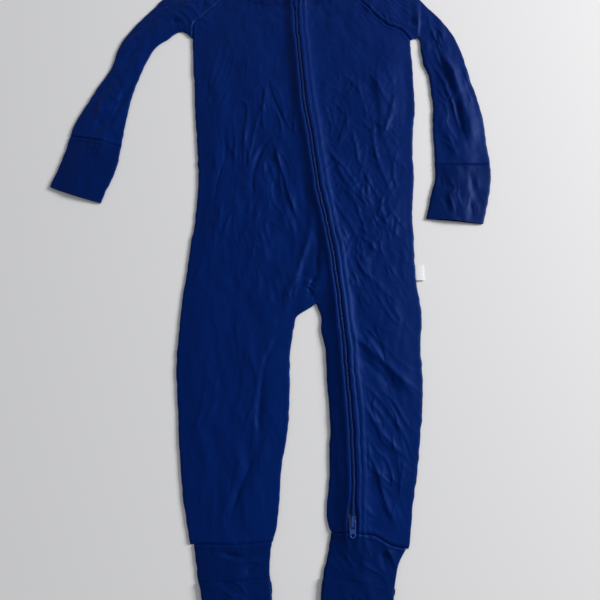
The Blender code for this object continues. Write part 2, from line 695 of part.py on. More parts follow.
def make_pull():
    """A flat tab with a window for the bridge at one end, and a slot near its round end.

    Its origin is on the bar's axis, about which it turns.
    """
    middle, _, upper = slider_levels()
    hinge_z = upper + PLATE + PULL_CLEAR + PULL_THICK / 2
    end = PULL_BAR / 2 - PULL_LENGTH
    outline = rounded(PULL_HALF, PULL_BAR / 2, end, (PULL_CORNER, PULL_HALF[1]))
    window = rounded((WINDOW_HALF,) * 2, -PULL_BAR / 2, WINDOW_END, (WINDOW_CORNER,) * 2)
    slot = rounded((SLOT_HALF,) * 2, end + SLOT_ENDS[0], end + SLOT_ENDS[1], (SLOT_CORNER,) * 2)
    curve = bpy.data.curves.new("zip_pull", "CURVE")
    curve.dimensions = "2D"
    curve.fill_mode = "BOTH"
    curve.extrude = PULL_THICK / 2 * MM
    for loop in (outline, window, slot):
        spline = curve.splines.new("POLY")
        spline.points.add(len(loop) - 1)
        for point, (x, y) in zip(spline.points, loop):
            point.co = (x * MM, y * MM, 0, 1)
        spline.use_cyclic_u = True
    pull = place("zip_pull", curve, "painted_metal")
    pull.location = Vector((middle, HINGE_Y, hinge_z)) * MM


def main():
    clear_scene()
    back = make_back()
    front_right = make_front_right()
    front_left = make_front_left()
    sleeve_right = make_sleeve("right", SLEEVE_RIGHT, -1)
    sleeve_left = make_sleeve("left", SLEEVE_LEFT, 1)
    make_cuff("hand_cuff_right", HAND_CUFF_RIGHT)
    make_cuff("hand_cuff_left", HAND_CUFF_LEFT)
    make_cuff("leg_cuff_right", LEG_CUFF_RIGHT)
    make_cuff("leg_cuff_left", LEG_CUFF_LEFT)
    make_foot_cover("foot_cover_right", LEG_CUFF_RIGHT)
    make_foot_cover("foot_cover_left", LEG_CUFF_LEFT)
    make_neckband(front_right, sleeve_right, back, sleeve_left, front_left)
    make_tapes()
    make_coil()
    make_guard()
    make_slider()
    make_pull()
    make_label()


main()
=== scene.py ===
import math

import bmesh
import bpy
import numpy as np
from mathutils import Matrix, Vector


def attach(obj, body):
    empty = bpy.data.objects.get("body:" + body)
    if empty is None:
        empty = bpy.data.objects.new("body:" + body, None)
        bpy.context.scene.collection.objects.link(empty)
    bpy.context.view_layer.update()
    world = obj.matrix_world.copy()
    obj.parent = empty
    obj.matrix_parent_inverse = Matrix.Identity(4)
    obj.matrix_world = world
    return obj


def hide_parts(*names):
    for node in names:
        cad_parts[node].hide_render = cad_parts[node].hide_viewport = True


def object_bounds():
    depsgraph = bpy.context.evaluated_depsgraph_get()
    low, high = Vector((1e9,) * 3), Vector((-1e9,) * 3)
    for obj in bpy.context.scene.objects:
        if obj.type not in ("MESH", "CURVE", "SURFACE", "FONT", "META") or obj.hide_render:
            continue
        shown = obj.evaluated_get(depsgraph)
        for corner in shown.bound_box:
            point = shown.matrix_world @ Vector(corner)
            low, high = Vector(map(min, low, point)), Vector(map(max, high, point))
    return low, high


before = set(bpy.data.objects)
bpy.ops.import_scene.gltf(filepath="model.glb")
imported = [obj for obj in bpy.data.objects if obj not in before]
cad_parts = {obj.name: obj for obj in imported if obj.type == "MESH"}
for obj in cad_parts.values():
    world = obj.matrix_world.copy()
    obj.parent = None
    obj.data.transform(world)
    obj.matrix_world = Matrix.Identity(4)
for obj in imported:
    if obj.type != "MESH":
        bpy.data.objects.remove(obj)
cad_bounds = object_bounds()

# A child's one-piece pajama with a diagonal zip, laid flat on its back.
# Tables and sizes are in millimetres of the garment, turned into metres by UNIT.
# +Y runs to the neck, +X to the wearer's left, and "right" and "left" are the wearer's.
LENGTH = 676.2  # the garment's length in the tables' millimetres
UNIT = (cad_bounds[1][1] - cad_bounds[0][1]) / LENGTH

# ---------------------------------------------------------------- the cut, as it lies

# A row is a section across torso and legs, from the hem up.
# Columns: right side, right inseam, left inseam, zip and left side, each as x and y.
SECTION_COLUMNS = ("side_right", "inseam_right", "inseam_left", "zip", "side_left")
SECTIONS = (
    ("hem", -96.0, -254.5, -24.6, -252.0, 26.0, -244.4, 43.4, -243.4, 92.0, -257.5),
    ("hem_puff", -97.6, -249.5, -23.6, -247.5, 23.9, -240.0, 43.6, -239.0, 93.4, -252.5),
    ("ankle", -101.9, -226, -21.0, -226, 22.0, -226, 44.2, -226, 97.3, -226),
    ("shin", -107.3, -189, -17.5, -189, 24.8, -189, 45.5, -189, 103.0, -189),
    ("knee", -111.2, -150, -12.0, -150, 26.5, -150, 44.2, -150, 108.8, -150),
    ("thigh", -114.7, -112, -10.8, -112, 22.8, -112, 41.6, -112, 110.2, -112),
    ("thigh_top", -115.4, -84, -10.2, -84, 22.3, -84, 39.4, -84, 111.2, -84),
    ("inseam_top", -115.0, -65, -6.8, -65, 19.3, -66, 37.9, -66, 112.1, -66),
    ("notch", -113.6, -52, -3.6, -52.5, 18.9, -53, 36.8, -53, 112.2, -53),
    ("crotch", -112.8, -42, 11.8, -42.0, 14.8, -42.0, 35.8, -42, 111.8, -42),
    ("hip", -110.8, -20, 4.0, -20, 12.6, -20, 33.5, -20, 109.9, -20),
    ("belly", -108.1, 13, -4.0, 13, 6.8, 13, 29.2, 13, 109.2, 13),
    ("waist", -104.6, 44, -10.0, 44, 1.2, 44, 23.0, 44, 109.6, 44),
    ("rib", -102.8, 75, -16.0, 75, -4.8, 75, 17.2, 75, 111.2, 75),
    ("lower_chest", -104.3, 108, -21.0, 108, -9.8, 108, 12.4, 108, 112.6, 108),
    ("chest", -108.2, 150, -27.0, 150, -15.8, 150, 6.5, 150, 114.7, 150),
    ("upper_chest", -110.9, 190, -32.0, 190, -20.6, 190, 1.6, 190, 117.0, 190),
    ("armhole", -114.3, 224, -36.0, 224, -24.2, 224, -1.9, 224, 115.7, 224),
)
CROTCH_ROW = 9
BODY_RUN = 496  # about the length from hem to underarm, which sets how many rows fit

# A row is a section of the shoulder, from the underarm to the neck.
SHOULDER_COLUMNS = (
    "front_right", "back_right", "fold_right", "front_left", "back_left", "fold_left", "zip",
)
SHOULDER = (
    ("underarm", -115.6, 249, -115.6, 249, -147, 298.6,
     115.8, 247.5, 115.8, 247.5, 133, 291, -3.8, 247),
    ("seam_1", -115.5, 257, -110.0, 266, -136, 305.5,
     107.0, 258.4, 107.0, 262, 122, 304, -4.8, 255),
    ("seam_2", -115.0, 266, -99.0, 284, -124, 312.5,
     95.0, 263.8, 94.5, 279, 108, 313, -5.6, 263),
    ("seam_3", -106.0, 276, -86.0, 302, -109, 319.5,
     84.0, 273.3, 81.0, 297, 92, 320.5, -6.3, 271.5),
    ("seam_4", -93.0, 289.5, -73.0, 320, -91, 326,
     70.5, 287.5, 62.0, 319, 72, 328, -6.9, 280.5),
    ("neck", -79.3, 303, -61.0, 335, -73, 331,
     57.0, 301.5, 40.0, 337, 51, 332.5, -7.3, 289.5),
)
FRONT_DIP_RIGHT = 7.5  # how far each neckline sags below its chord
FRONT_DIP_LEFT = 4.0
BACK_DIP = 5.0

# A row is a section of a tube, as x and y of its seam edge and of its folded edge.
SLEEVE_RIGHT = (
    ("wrist", -182.0, 122.6, -234.8, 134.6),
    ("forearm_1", -180.5, 138, -232.0, 146),
    ("forearm_2", -178.5, 160, -223.0, 166),
    ("forearm_3", -175.0, 182, -211.6, 190),
    ("elbow", -169.0, 203, -199.5, 213),
    ("upper_1", -161.0, 224, -192.4, 238.6),
    ("upper_2", -154.0, 238, -184.0, 255),
    ("upper_3", -143.0, 247.5, -172.5, 271.5),
    ("armpit", -125.6, 257.5, -159.0, 287),
)
SLEEVE_LEFT = (
    ("wrist", 133.4, 101.0, 189.8, 102.6),
    ("forearm_1", 134.5, 125, 188.2, 127),
    ("forearm_2", 134.2, 152, 185.6, 153),
    ("forearm_3", 134.3, 178, 180.7, 179),
    ("elbow", 133.2, 203, 175.0, 206),
    ("upper_1", 128.3, 217, 169.0, 231),
    ("upper_2", 126.7, 234, 160.0, 257),
    ("armpit", 124.4, 249.5, 146.0, 276),
)
HAND_CUFF_RIGHT = (
    ("end", -198.3, 60.9, -249.6, 79.1),
    ("middle", -191.0, 82.5, -243.0, 100.8),
    ("upper", -184.2, 105.2, -238.6, 119.6),
    ("seam", -182.0, 122.6, -234.8, 134.6),
)
HAND_CUFF_LEFT = (
    ("end", 123.4, 45.1, 178.1, 39.8),
    ("middle", 128.7, 70.5, 184.0, 66.0),
    ("upper", 133.0, 90.0, 188.0, 85.0),
    ("seam", 133.4, 101.0, 189.8, 102.6),
)
CUFF_END = -326.0
LEG_CUFF_RIGHT = (
    ("end", -27.0, CUFF_END, -80.0, CUFF_END),
    ("lower", -25.9, -298.2, -84.2, -298.2),
    ("cover_edge", -26.8, -280.4, -87.6, -284.4),
    ("upper", -26.3, -267.0, -89.6, -270.7),
    ("seam", -25.3, -252.0, -92.6, -254.5),
)
LEG_CUFF_LEFT = (
    ("end", 16.0, CUFF_END, 76.0, CUFF_END),
    ("lower", 16.3, -298.2, 78.8, -298.2),
    ("cover_edge", 18.4, -280.0, 79.6, -288.0),
    ("upper", 21.0, -267.5, 82.6, -272.5),
    ("seam", 25.3, -244.4, 89.4, -257.5),
)

CLOTH = 1.0  # the CAD's wall
SEAM = 0.3  # the CAD's gap at a seam and between layers
JERSEY = 0.5  # the jersey's own thickness
LOFT = 1.5  # how far the upper layer rises above the side seams
LOFT_REACH = 14.0
ZIP_LIFT = 2.4  # how far the zip's ridge stands above that
ZIP_SPREAD = (10.5, 13.0)  # half the ridge's width on its right and on its left
MIDDLE = CLOTH + SEAM / 2  # the height where the two layers turn into each other
ROUND_UPPER = 3.0  # how far in from a folded edge the upper and lower layers round off
ROUND_LOWER = 1.6

LIP_GAP = 1.6  # from the zip's middle to each front's edge
LIP_GAP_TOP = 4.6
LIP_GAP_SLIDER = 3.9
GUARD_TIP_Y = 281.0
GUARD_TOP_Y = 304.6
SLIDER_Y = (-229.0, -241.2)
BAND_WIDTH = 15.0
LIP_CREST = 4.0  # from the zip's middle to the crest of each lip
LIP_RISE = 0.8
STITCHED = 7.0  # from the zip's middle to the line of stitches
SEAM_ROWS_END = 10.0  # from the zip's middle to where the neck seams' stitches end

# ---------------------------------------------------------------- creases, placed one by one

# A panel's edge nearer -x and its edge nearer +x, and the rows its height is measured between.
BODY_PANELS = {
    "front_right": ("side_right", "zip", "crotch", "armhole"),
    "front_left": ("zip", "side_left", "crotch", "armhole"),
    "leg_right": ("side_right", "inseam_right", "hem", "inseam_top"),
    "leg_left": ("inseam_left", "side_left", "hem", "inseam_top"),
}
TUBE_PANELS = {
    "sleeve_right": (SLEEVE_RIGHT, "fold", "seam"),
    "sleeve_left": (SLEEVE_LEFT, "seam", "fold"),
    "hand_cuff_left": (HAND_CUFF_LEFT, "seam", "fold"),
    "leg_cuff_right": (LEG_CUFF_RIGHT, "fold", "seam"),
    "leg_cuff_left": (LEG_CUFF_LEFT, "seam", "fold"),
}

# A crease has its height, or depth if negative, its reach to the left and to the right of
# one who walks along it, and the places it passes. On a panel a place is a share of the way
# across it and a share of the way up it.
CREASES_ON_PANELS = {
    "front_right": (
        (-1.2, 1.3, 2.4, (0.68, 0.90), (0.73, 0.80), (0.81, 0.70)),  # the upper fork
        (1.1, 2.8, 1.1, (0.67, 0.89), (0.61, 0.78), (0.59, 0.65)),
        (1.0, 2.4, 1.1, (0.93, 0.79), (0.88, 0.71), (0.86, 0.65)),
        (-1.2, 1.3, 2.6, (0.66, 0.66), (0.56, 0.59), (0.49, 0.52), (0.44, 0.40)),  # the lower one
        (1.4, 3.4, 1.2, (0.67, 0.66), (0.70, 0.55), (0.74, 0.44), (0.80, 0.30)),
        (0.8, 1.8, 1.0, (0.58, 0.55), (0.56, 0.51), (0.58, 0.46)),
        (-0.9, 1.4, 1.8, (0.25, 0.67), (0.23, 0.56), (0.16, 0.45), (0.14, 0.33)),
        (0.7, 2.2, 1.0, (0.33, 0.74), (0.33, 0.64), (0.30, 0.54)),
        (0.7, 1.8, 1.1, (0.44, 0.72), (0.42, 0.63), (0.46, 0.56)),
        (0.6, 1.8, 1.1, (0.16, 0.32), (0.18, 0.20)),
        (0.7, 1.8, 1.1, (0.42, 0.40), (0.40, 0.31)),
        (0.8, 2.0, 1.1, (0.49, 0.29), (0.54, 0.18)),
        (0.8, 2.2, 1.4, (0.13, 0.20), (0.08, 0.12), (0.03, 0.05)),
        (0.5, 2.0, 1.2, (0.31, 0.97), (0.26, 0.88)),
        (-1.0, 4.0, 4.0, (0.63, 0.50), (0.64, 0.38)),
        (-1.7, 8.0, 8.0, (0.91, 0.60), (0.90, 0.46), (0.92, 0.34), (0.88, 0.22)),  # by the zip
        (-2.0, 8.0, 9.0, (0.86, 0.26), (0.79, 0.14), (0.74, 0.02)),
        (2.0, 4.5, 4.0, (0.93, 0.38), (0.88, 0.29), (0.81, 0.20), (0.74, 0.11), (0.71, 0.04)),
        (-2.2, 3.5, 3.5, (0.97, 0.33), (0.93, 0.25), (0.89, 0.17), (0.87, 0.09)),
    ),
    "front_left": (
        (1.9, 11.0, 3.4, (0.62, 0.96), (0.67, 0.86), (0.69, 0.74), (0.68, 0.62)),
        (1.2, 3.2, 1.1, (0.84, 0.85), (0.78, 0.77), (0.72, 0.69)),
        (1.0, 2.8, 1.1, (0.83, 0.79), (0.77, 0.73), (0.70, 0.66)),
        (1.2, 3.0, 1.1, (0.58, 0.72), (0.62, 0.60), (0.68, 0.50), (0.75, 0.42)),
        (1.1, 2.6, 1.1, (0.39, 0.75), (0.32, 0.69), (0.25, 0.62)),
        (1.2, 3.0, 1.2, (0.11, 0.63), (0.20, 0.57), (0.30, 0.52), (0.42, 0.43)),
        (1.1, 3.0, 1.3, (0.20, 0.56), (0.28, 0.48), (0.37, 0.39)),
        (0.9, 2.4, 1.1, (0.37, 0.70), (0.42, 0.63), (0.44, 0.55)),
        (0.9, 2.4, 1.1, (0.48, 0.90), (0.53, 0.80), (0.57, 0.71)),
        (0.8, 2.2, 1.1, (0.34, 0.93), (0.44, 0.89), (0.52, 0.82)),
        (1.0, 2.4, 1.1, (0.54, 0.52), (0.50, 0.45), (0.52, 0.38)),
        (1.0, 2.4, 1.1, (0.66, 0.42), (0.60, 0.33)),
        (0.9, 2.2, 1.1, (0.62, 0.37), (0.71, 0.29)),
        (0.8, 2.2, 1.1, (0.78, 0.53), (0.81, 0.44)),
        (0.8, 2.2, 1.1, (0.82, 0.31), (0.75, 0.24)),
        (0.9, 2.2, 1.1, (0.36, 0.26), (0.45, 0.23), (0.54, 0.19)),
        (1.0, 2.4, 1.1, (0.26, 0.18), (0.36, 0.12), (0.58, 0.05)),
        (0.7, 2.0, 1.0, (0.12, 0.84), (0.24, 0.87), (0.34, 0.83)),
        (0.7, 2.0, 1.0, (0.14, 0.78), (0.26, 0.80), (0.36, 0.75)),
        (-1.4, 6.0, 7.0, (0.96, 1.00), (0.94, 0.86), (0.93, 0.68)),
    ),
    "leg_right": (
        (-1.7, 3.4, 2.4, (0.88, 0.98), (0.77, 0.80), (0.74, 0.62), (0.74, 0.45)),
        (-1.5, 3.2, 2.4, (0.70, 0.38), (0.60, 0.24), (0.50, 0.10)),
        (0.5, 3.0, 3.0, (0.13, 0.59), (0.24, 0.42)),
        (0.5, 2.0, 2.0, (0.42, 0.11), (0.46, 0.02)),
        (0.4, 3.0, 3.0, (0.10, 0.90), (0.16, 0.74)),
    ),
    "leg_left": (
        (2.2, 6.0, 3.4, (0.27, 0.98), (0.47, 0.89), (0.72, 0.78), (0.92, 0.66)),
        (-1.2, 5.0, 5.0, (0.30, 0.90), (0.50, 0.80), (0.76, 0.66)),
        (1.0, 2.8, 1.6, (0.36, 0.74), (0.60, 0.61), (0.84, 0.47)),
        (1.0, 2.6, 1.4, (0.36, 0.63), (0.54, 0.50), (0.90, 0.36)),
        (0.8, 2.0, 1.4, (0.52, 0.70), (0.64, 0.66), (0.80, 0.56)),
        (1.3, 3.2, 1.4, (0.42, 0.42), (0.56, 0.28), (0.68, 0.16), (0.86, 0.06)),
        (0.8, 2.2, 1.2, (0.43, 0.44), (0.44, 0.26)),
        (0.8, 2.2, 1.2, (0.83, 0.37), (0.82, 0.21)),
        (0.7, 2.0, 1.2, (0.36, 0.17), (0.60, 0.09)),
    ),
    "sleeve_right": (
        (-2.4, 3.0, 5.0, (0.88, 0.46), (0.78, 0.28), (0.64, 0.06)),  # the forearm's long fold
        (1.4, 2.4, 2.0, (0.97, 0.50), (0.92, 0.34)),
        (1.4, 4.0, 3.0, (0.62, 0.73), (0.68, 0.65), (0.60, 0.55)),
        (0.9, 2.2, 1.2, (0.13, 0.69), (0.17, 0.61)),
        (-1.0, 4.0, 2.5, (0.40, 0.80), (0.36, 0.68), (0.42, 0.58)),
        (-0.9, 4.0, 2.0, (0.38, 0.52), (0.30, 0.35)),
        (0.9, 2.6, 1.4, (0.33, 0.31), (0.36, 0.05)),
        (0.9, 2.4, 1.2, (0.80, 0.09), (0.96, 0.04)),
    ),
    "sleeve_left": (
        (3.8, 9.0, 9.0, (0.56, 0.80), (0.63, 0.56), (0.69, 0.36), (0.73, 0.08)),
        (-2.2, 4.0, 7.0, (0.40, 0.74), (0.48, 0.52), (0.54, 0.34), (0.61, 0.08)),
        (1.4, 3.0, 1.2, (0.24, 0.70), (0.34, 0.54), (0.43, 0.42), (0.52, 0.22)),
        (-1.6, 4.0, 2.2, (0.30, 0.98), (0.38, 0.82)),
        (1.2, 3.0, 1.2, (0.56, 0.97), (0.46, 0.88)),
        (0.9, 2.4, 1.2, (0.70, 0.98), (0.78, 0.86)),
        (0.9, 2.4, 1.2, (0.56, 0.82), (0.52, 0.72)),
        (0.8, 2.0, 1.2, (0.80, 0.62), (0.86, 0.36)),
        (0.8, 2.0, 1.2, (0.90, 0.70), (0.94, 0.50)),
        (0.8, 2.2, 1.2, (0.12, 0.18), (0.34, 0.10)),
    ),
    "hand_cuff_left": (
        (-1.0, 5.0, 2.5, (0.60, 0.96), (0.66, 0.74), (0.72, 0.46)),
        (1.0, 4.0, 3.0, (0.76, 0.94), (0.80, 0.50)),
        (-0.8, 4.0, 3.0, (0.05, 0.86), (0.17, 0.62), (0.44, 0.56)),
        (-0.9, 5.0, 3.0, (0.66, 0.48), (0.80, 0.06)),
        (0.7, 2.6, 2.0, (0.30, 0.46), (0.45, 0.06)),
    ),
    "leg_cuff_right": (
        (-2.6, 2.4, 1.4, (0.30, 0.91), (0.62, 0.85), (0.99, 0.91)),
        (1.4, 1.4, 2.2, (0.44, 0.81), (0.98, 0.82)),
        (-1.6, 2.0, 2.0, (0.66, 0.67), (0.84, 0.78)),
    ),
    "leg_cuff_left": (
        (2.6, 5.0, 0.9, (0.73, 0.97), (0.86, 0.85), (0.98, 0.72)),
        (-1.2, 4.0, 2.0, (0.67, 0.93), (0.86, 0.69)),
        (0.8, 2.0, 1.2, (0.20, 0.84), (0.40, 0.70)),
    ),
}


def turned(middle_x, middle_y, radius, first, last):
    """Points of an arc round a middle, from one angle to another in degrees."""
    angles = np.radians(np.linspace(first, last, 7))
    return tuple((middle_x + radius * math.cos(a), middle_y + radius * math.sin(a)) for a in angles)


CREASES_CROTCH = (
    (1.3, 1.6, 0.9, *turned(3.0, -34, 6.0, 200, -10)),
    (1.6, 1.8, 1.0, *turned(2.5, -34, 10.0, 225, 10)),
    (1.5, 2.0, 1.1, *turned(2.5, -34, 14.0, 230, 20)),
    (1.2, 2.2, 1.2, *turned(2.0, -35, 18.5, 215, 60)),
    (1.2, 1.4, 1.0, (10, -43), (10.5, -33), (16, -26)),
    (-1.6, 2.0, 2.0, (13.5, -38), (8, -30), (9, -22), (15, -14)),
    (1.3, 2.5, 1.6, (-5, -52), (0, -48), (8, -43)),
    (1.1, 1.2, 2.4, (-10, -22), (-14, -40), (-13, -58)),
)
# Those of the shoulders and of the back pass places of the plan, in millimetres.
CREASES_SHOULDERS = (
    (3.0, 7.0, 0.8, (124, 246), (125, 262), (126, 284), (128, 300)),  # a fold with a hard edge
    (-1.8, 3.0, 8.0, (117, 256), (119, 275), (118, 295)),
    (0.9, 1.6, 1.6, (95, 262), (107, 265), (117, 262), (124, 257)),
    (1.0, 2.5, 2.5, (134, 284), (137, 262), (139, 243)),
    (1.0, 1.8, 1.8, (-127, 260), (-132, 268), (-128, 275)),
    (-1.6, 2.0, 4.0, (-141, 269), (-133, 269), (-128, 266)),
    (0.9, 1.6, 1.6, (-120, 258), (-128, 272), (-141, 280)),
    (0.8, 1.6, 1.6, (-113, 260), (-121, 274), (-132, 284)),
    (0.7, 1.6, 1.6, (-108, 268), (-113, 280), (-124, 291)),
)
CREASES_BACK = (
    (0.8, 2.0, 2.6, (-60, 190), (-66, 150), (-62, 100), (-68, 60)),
    (0.8, 2.6, 2.0, (20, 210), (30, 160), (26, 110), (34, 70)),
    (0.7, 2.0, 2.0, (70, 190), (62, 150), (70, 112)),
    (0.8, 2.4, 2.4, (-20, 60), (-8, 20), (2, -20)),
    (0.8, 2.4, 2.4, (50, 30), (36, 0), (22, -28)),
    (0.7, 2.2, 2.2, (-80, -60), (-62, -110), (-50, -150)),
    (0.8, 2.2, 2.2, (92, -70), (70, -115), (56, -160)),
    (0.6, 2.2, 2.2, (-90, 20), (-86, -20), (-94, -50)),
    (0.6, 2.0, 2.0, (-60, -190), (-56, -225), (-62, -245)),
    (0.6, 2.0, 2.0, (72, -180), (66, -215), (72, -245)),
)

# Fine creases fill an oval patch: its middle and reach in x and y, the creases' turn from
# +y, their spacing, how many times longer than that they run, their height and half width.
FINE_UPPER = (
    ("chest_right", -70, 110, 62, 150, -9, 24, 3.6, 0.65, 1.1),
    ("chest_right_inner", -34, 70, 40, 150, 14, 20, 3.6, 0.60, 1.0),
    ("chest_right_fine", -60, 90, 66, 190, -4, 12, 3.4, 0.28, 0.7),
    ("chest_top_right", -60, 230, 60, 90, -30, 15, 2.4, 0.30, 0.8),
    ("chest_left", 62, 150, 62, 130, 32, 12, 2.8, 0.42, 0.7),
    ("chest_left_too", 60, 110, 62, 150, -20, 15, 3.2, 0.42, 0.8),
    ("chest_left_wide", 66, 110, 60, 160, 16, 24, 3.4, 0.75, 1.2),
    ("chest_left_across", 40, 200, 50, 70, 66, 10, 2.6, 0.34, 0.7),
    ("hip_left", 66, 20, 54, 90, 34, 14, 3.2, 0.50, 0.8),
    ("hip_left_across", 66, 0, 50, 70, 58, 11, 2.6, 0.34, 0.7),
    ("thigh_left", 76, -130, 50, 120, 38, 20, 3.6, 0.55, 1.1),
    ("shin_left", 70, -190, 50, 90, 16, 17, 3.6, 0.60, 1.0),
    ("beside_zip", 36, -150, 18, 130, -2, 9, 4.0, 0.45, 0.7),
    ("leg_right", -62, -130, 56, 150, -6, 26, 3.4, 0.40, 1.3),
    ("leg_right_fine", -60, -170, 56, 120, 8, 14, 3.0, 0.25, 0.8),
    ("sleeve_left", 156, 200, 40, 110, 14, 14, 3.4, 0.60, 0.9),
    ("shoulder_left", 95, 290, 46, 50, 44, 11, 2.6, 0.60, 0.9),
    ("sleeve_right", -190, 190, 60, 100, -28, 16, 2.8, 0.55, 1.0),
    ("shoulder_right", -128, 280, 46, 44, -42, 10, 2.6, 0.70, 0.9),
    ("cuff_right", -58, -285, 44, 46, 78, 15, 2.4, 0.45, 1.0),
    ("cuff_left", 50, -285, 44, 46, 52, 15, 2.4, 0.50, 1.0),
    ("wrist_left", 156, 72, 40, 34, 10, 15, 2.6, 0.40, 1.0),
    ("wrist_right", -216, 98, 40, 40, -24, 17, 2.6, 0.35, 1.0),
)
# Soft, rounder relief fills an oval too: its middle and reach, turn, spacing, stretch, height.
SOFT = (
    ("sleeve_left", 156, 200, 46, 120, 12, 22, 2.6, 0.40),
    ("sleeve_left_small", 156, 220, 46, 100, 8, 11, 2.4, 0.20),
    ("sleeve_right", -190, 200, 66, 110, -30, 20, 2.0, 0.42),
    ("sleeve_right_small", -180, 210, 66, 110, -26, 10, 1.8, 0.20),
    ("shoulders", 0, 290, 160, 46, 0, 13, 1.4, 0.12),
    ("leg_cuffs", -10, -290, 120, 50, 70, 18, 1.8, 0.25),
    ("hand_cuff_left", 156, 74, 40, 44, 10, 22, 1.8, 0.35),
    ("legs", 0, -170, 130, 120, 8, 17, 2.4, 0.12),
    ("hips", 0, 10, 130, 90, 0, 16, 2.0, 0.12),
)
FINE_LOWER = (
    ("torso", 0, 100, 130, 200, 8, 24, 3.2, 0.55, 1.5),
    ("torso_too", 0, 60, 130, 200, -18, 28, 2.8, 0.50, 1.5),
    ("legs", 0, -170, 130, 150, 14, 24, 3.0, 0.50, 1.5),
    ("sleeves", 0, 200, 260, 150, 20, 20, 2.6, 0.45, 1.4),
)

# ---------------------------------------------------------------- curves and maps

CELL = 0.5
MAP_X = np.arange(-262, 206, CELL)
MAP_Y = np.arange(-336, 354, CELL)
MAP_SHAPE = (len(MAP_Y), len(MAP_X))


def smooth_step(low, high, value):
    """0 below low and 1 above high, with a cubic between them."""
    share = np.clip((value - low) / (high - low), 0, 1)
    return share * share * (3 - 2 * share)


def spline(points, knots, at):
    """A curve through points at knots: cubics whose slopes are those of the parabola
    through each point and its two neighbours."""
    slopes = np.gradient(points, knots, axis=0)
    index = np.clip(np.searchsorted(knots, at, side="right") - 1, 0, len(knots) - 2)
    step = np.diff(knots)[index][:, None]
    u = (at - knots[index])[:, None] / step
    rise = u * u * (3 - 2 * u)
    start = slopes[index] * step * u * (1 - u) ** 2
    end = slopes[index + 1] * step * u * u * (1 - u)
    return points[index] * (1 - rise) + points[index + 1] * rise + start - end


def lengths(points):
    """The way along a line to each of its points."""
    return np.concatenate([[0], np.cumsum(np.linalg.norm(np.diff(points, axis=0), axis=1))])


def respaced(line, step):
    """The line again, with points about step apart."""
    way = lengths(line)
    at = np.linspace(0, way[-1], max(2, round(way[-1] / step) + 1))
    return np.stack([np.interp(at, way, line[:, k]) for k in range(line.shape[1])], 1)


def column(table, names, name):
    """One named column of a table, as x and y of each row."""
    start = 1 + 2 * names.index(name)
    return np.array([row[start : start + 2] for row in table], float)


def section(name):
    """A line of the body through all its sections."""
    return column(SECTIONS, SECTION_COLUMNS, name)


def shoulder(name):
    """A line of the shoulder through all its sections."""
    return column(SHOULDER, SHOULDER_COLUMNS, name)


SECTION_KNOTS = np.append(section("zip")[:, 1], shoulder("zip")[0, 1])
SHOULDER_KNOTS = lengths(shoulder("front_right"))


def row_places(step):
    """Where the body's rows lie between the tables' rows, below and above the underarm."""
    low = np.linspace(SECTION_KNOTS[0], SECTION_KNOTS[-1], round(BODY_RUN / step))
    high = np.linspace(0, SHOULDER_KNOTS[-1], round(SHOULDER_KNOTS[-1] / step))
    return low, high


def edge(low_name, high_name, step):
    """An edge of the body from hem to neck, with its corner at the underarm."""
    low_at, high_at = row_places(step)
    high_points = shoulder(high_name)
    low_points = np.vstack([section(low_name), high_points[:1]])
    low = spline(low_points, SECTION_KNOTS, low_at)
    return np.vstack([low, spline(high_points, SHOULDER_KNOTS, high_at)[1:]])


ZIP_LINE = np.vstack([edge("zip", "zip", 1.0), [[-7.4, 306.0]]])
ZIP_COSINE = 1 / np.hypot(1, np.gradient(ZIP_LINE[:, 0], ZIP_LINE[:, 1]))


def zip_x(y):
    """The zip's middle at a height y."""
    return np.interp(y, ZIP_LINE[:, 1], ZIP_LINE[:, 0])


def beside_zip(points):
    """The distance from the zip's middle line, negative on the wearer's right."""
    along = np.interp(points[..., 1], ZIP_LINE[:, 1], ZIP_COSINE)
    return (points[..., 0] - zip_x(points[..., 1])) * along


def lip_gap(y):
    """Half the gap between the fronts' edges: wider round the guard and the slider."""
    guard = np.clip((y - GUARD_TIP_Y) / (GUARD_TOP_Y - GUARD_TIP_Y), 0, 1)
    past = np.maximum(np.abs(y - sum(SLIDER_Y) / 2) - 6.0, 0)
    slider = np.exp(-((past / 8.0) ** 2))
    return LIP_GAP + (LIP_GAP_TOP - LIP_GAP) * guard + (LIP_GAP_SLIDER - LIP_GAP) * slider


def tube_edges(table, step, shoulder_name=None):
    """A tube's seam edge and folded edge. A sleeve's run on along its raglan seam and its
    shoulder fold, whose rows are the body's."""
    seam = column(table, ("seam", "fold"), "seam")
    fold = column(table, ("seam", "fold"), "fold")
    if shoulder_name:
        seam = np.vstack([seam, shoulder("front_" + shoulder_name)[:1]])
        fold_all = np.vstack([fold, shoulder("fold_" + shoulder_name)])
    else:
        fold_all = fold
    knots = lengths((seam + fold_all[: len(seam)]) / 2)
    at = np.linspace(0, knots[-1], round(knots[-1] / step))
    if not shoulder_name:
        return spline(seam, knots, at), spline(fold, knots, at)
    high_at = row_places(step)[1]
    all_knots = np.concatenate([knots, knots[-1] + SHOULDER_KNOTS[1:]])
    all_at = np.concatenate([at, knots[-1] + high_at[1:]])
    return spline(seam, knots, at), spline(fold_all, all_knots, all_at)


def window(low, high):
    """The map's cells inside a box of the plan."""
    rows = slice(*np.searchsorted(MAP_Y, (low[1], high[1])))
    columns = slice(*np.searchsorted(MAP_X, (low[0], high[0])))
    return rows, columns


def to_stretch(x, y, start, end):
    """Distance from a straight stretch, the side it lies on and the share along it."""
    run = end - start
    across_x = x - start[0]
    across_y = y - start[1]
    share = np.clip((across_x * run[0] + across_y * run[1]) / (run @ run), 0, 1)
    away = np.hypot(across_x - share * run[0], across_y - share * run[1])
    return away, run[0] * across_y - run[1] * across_x, share


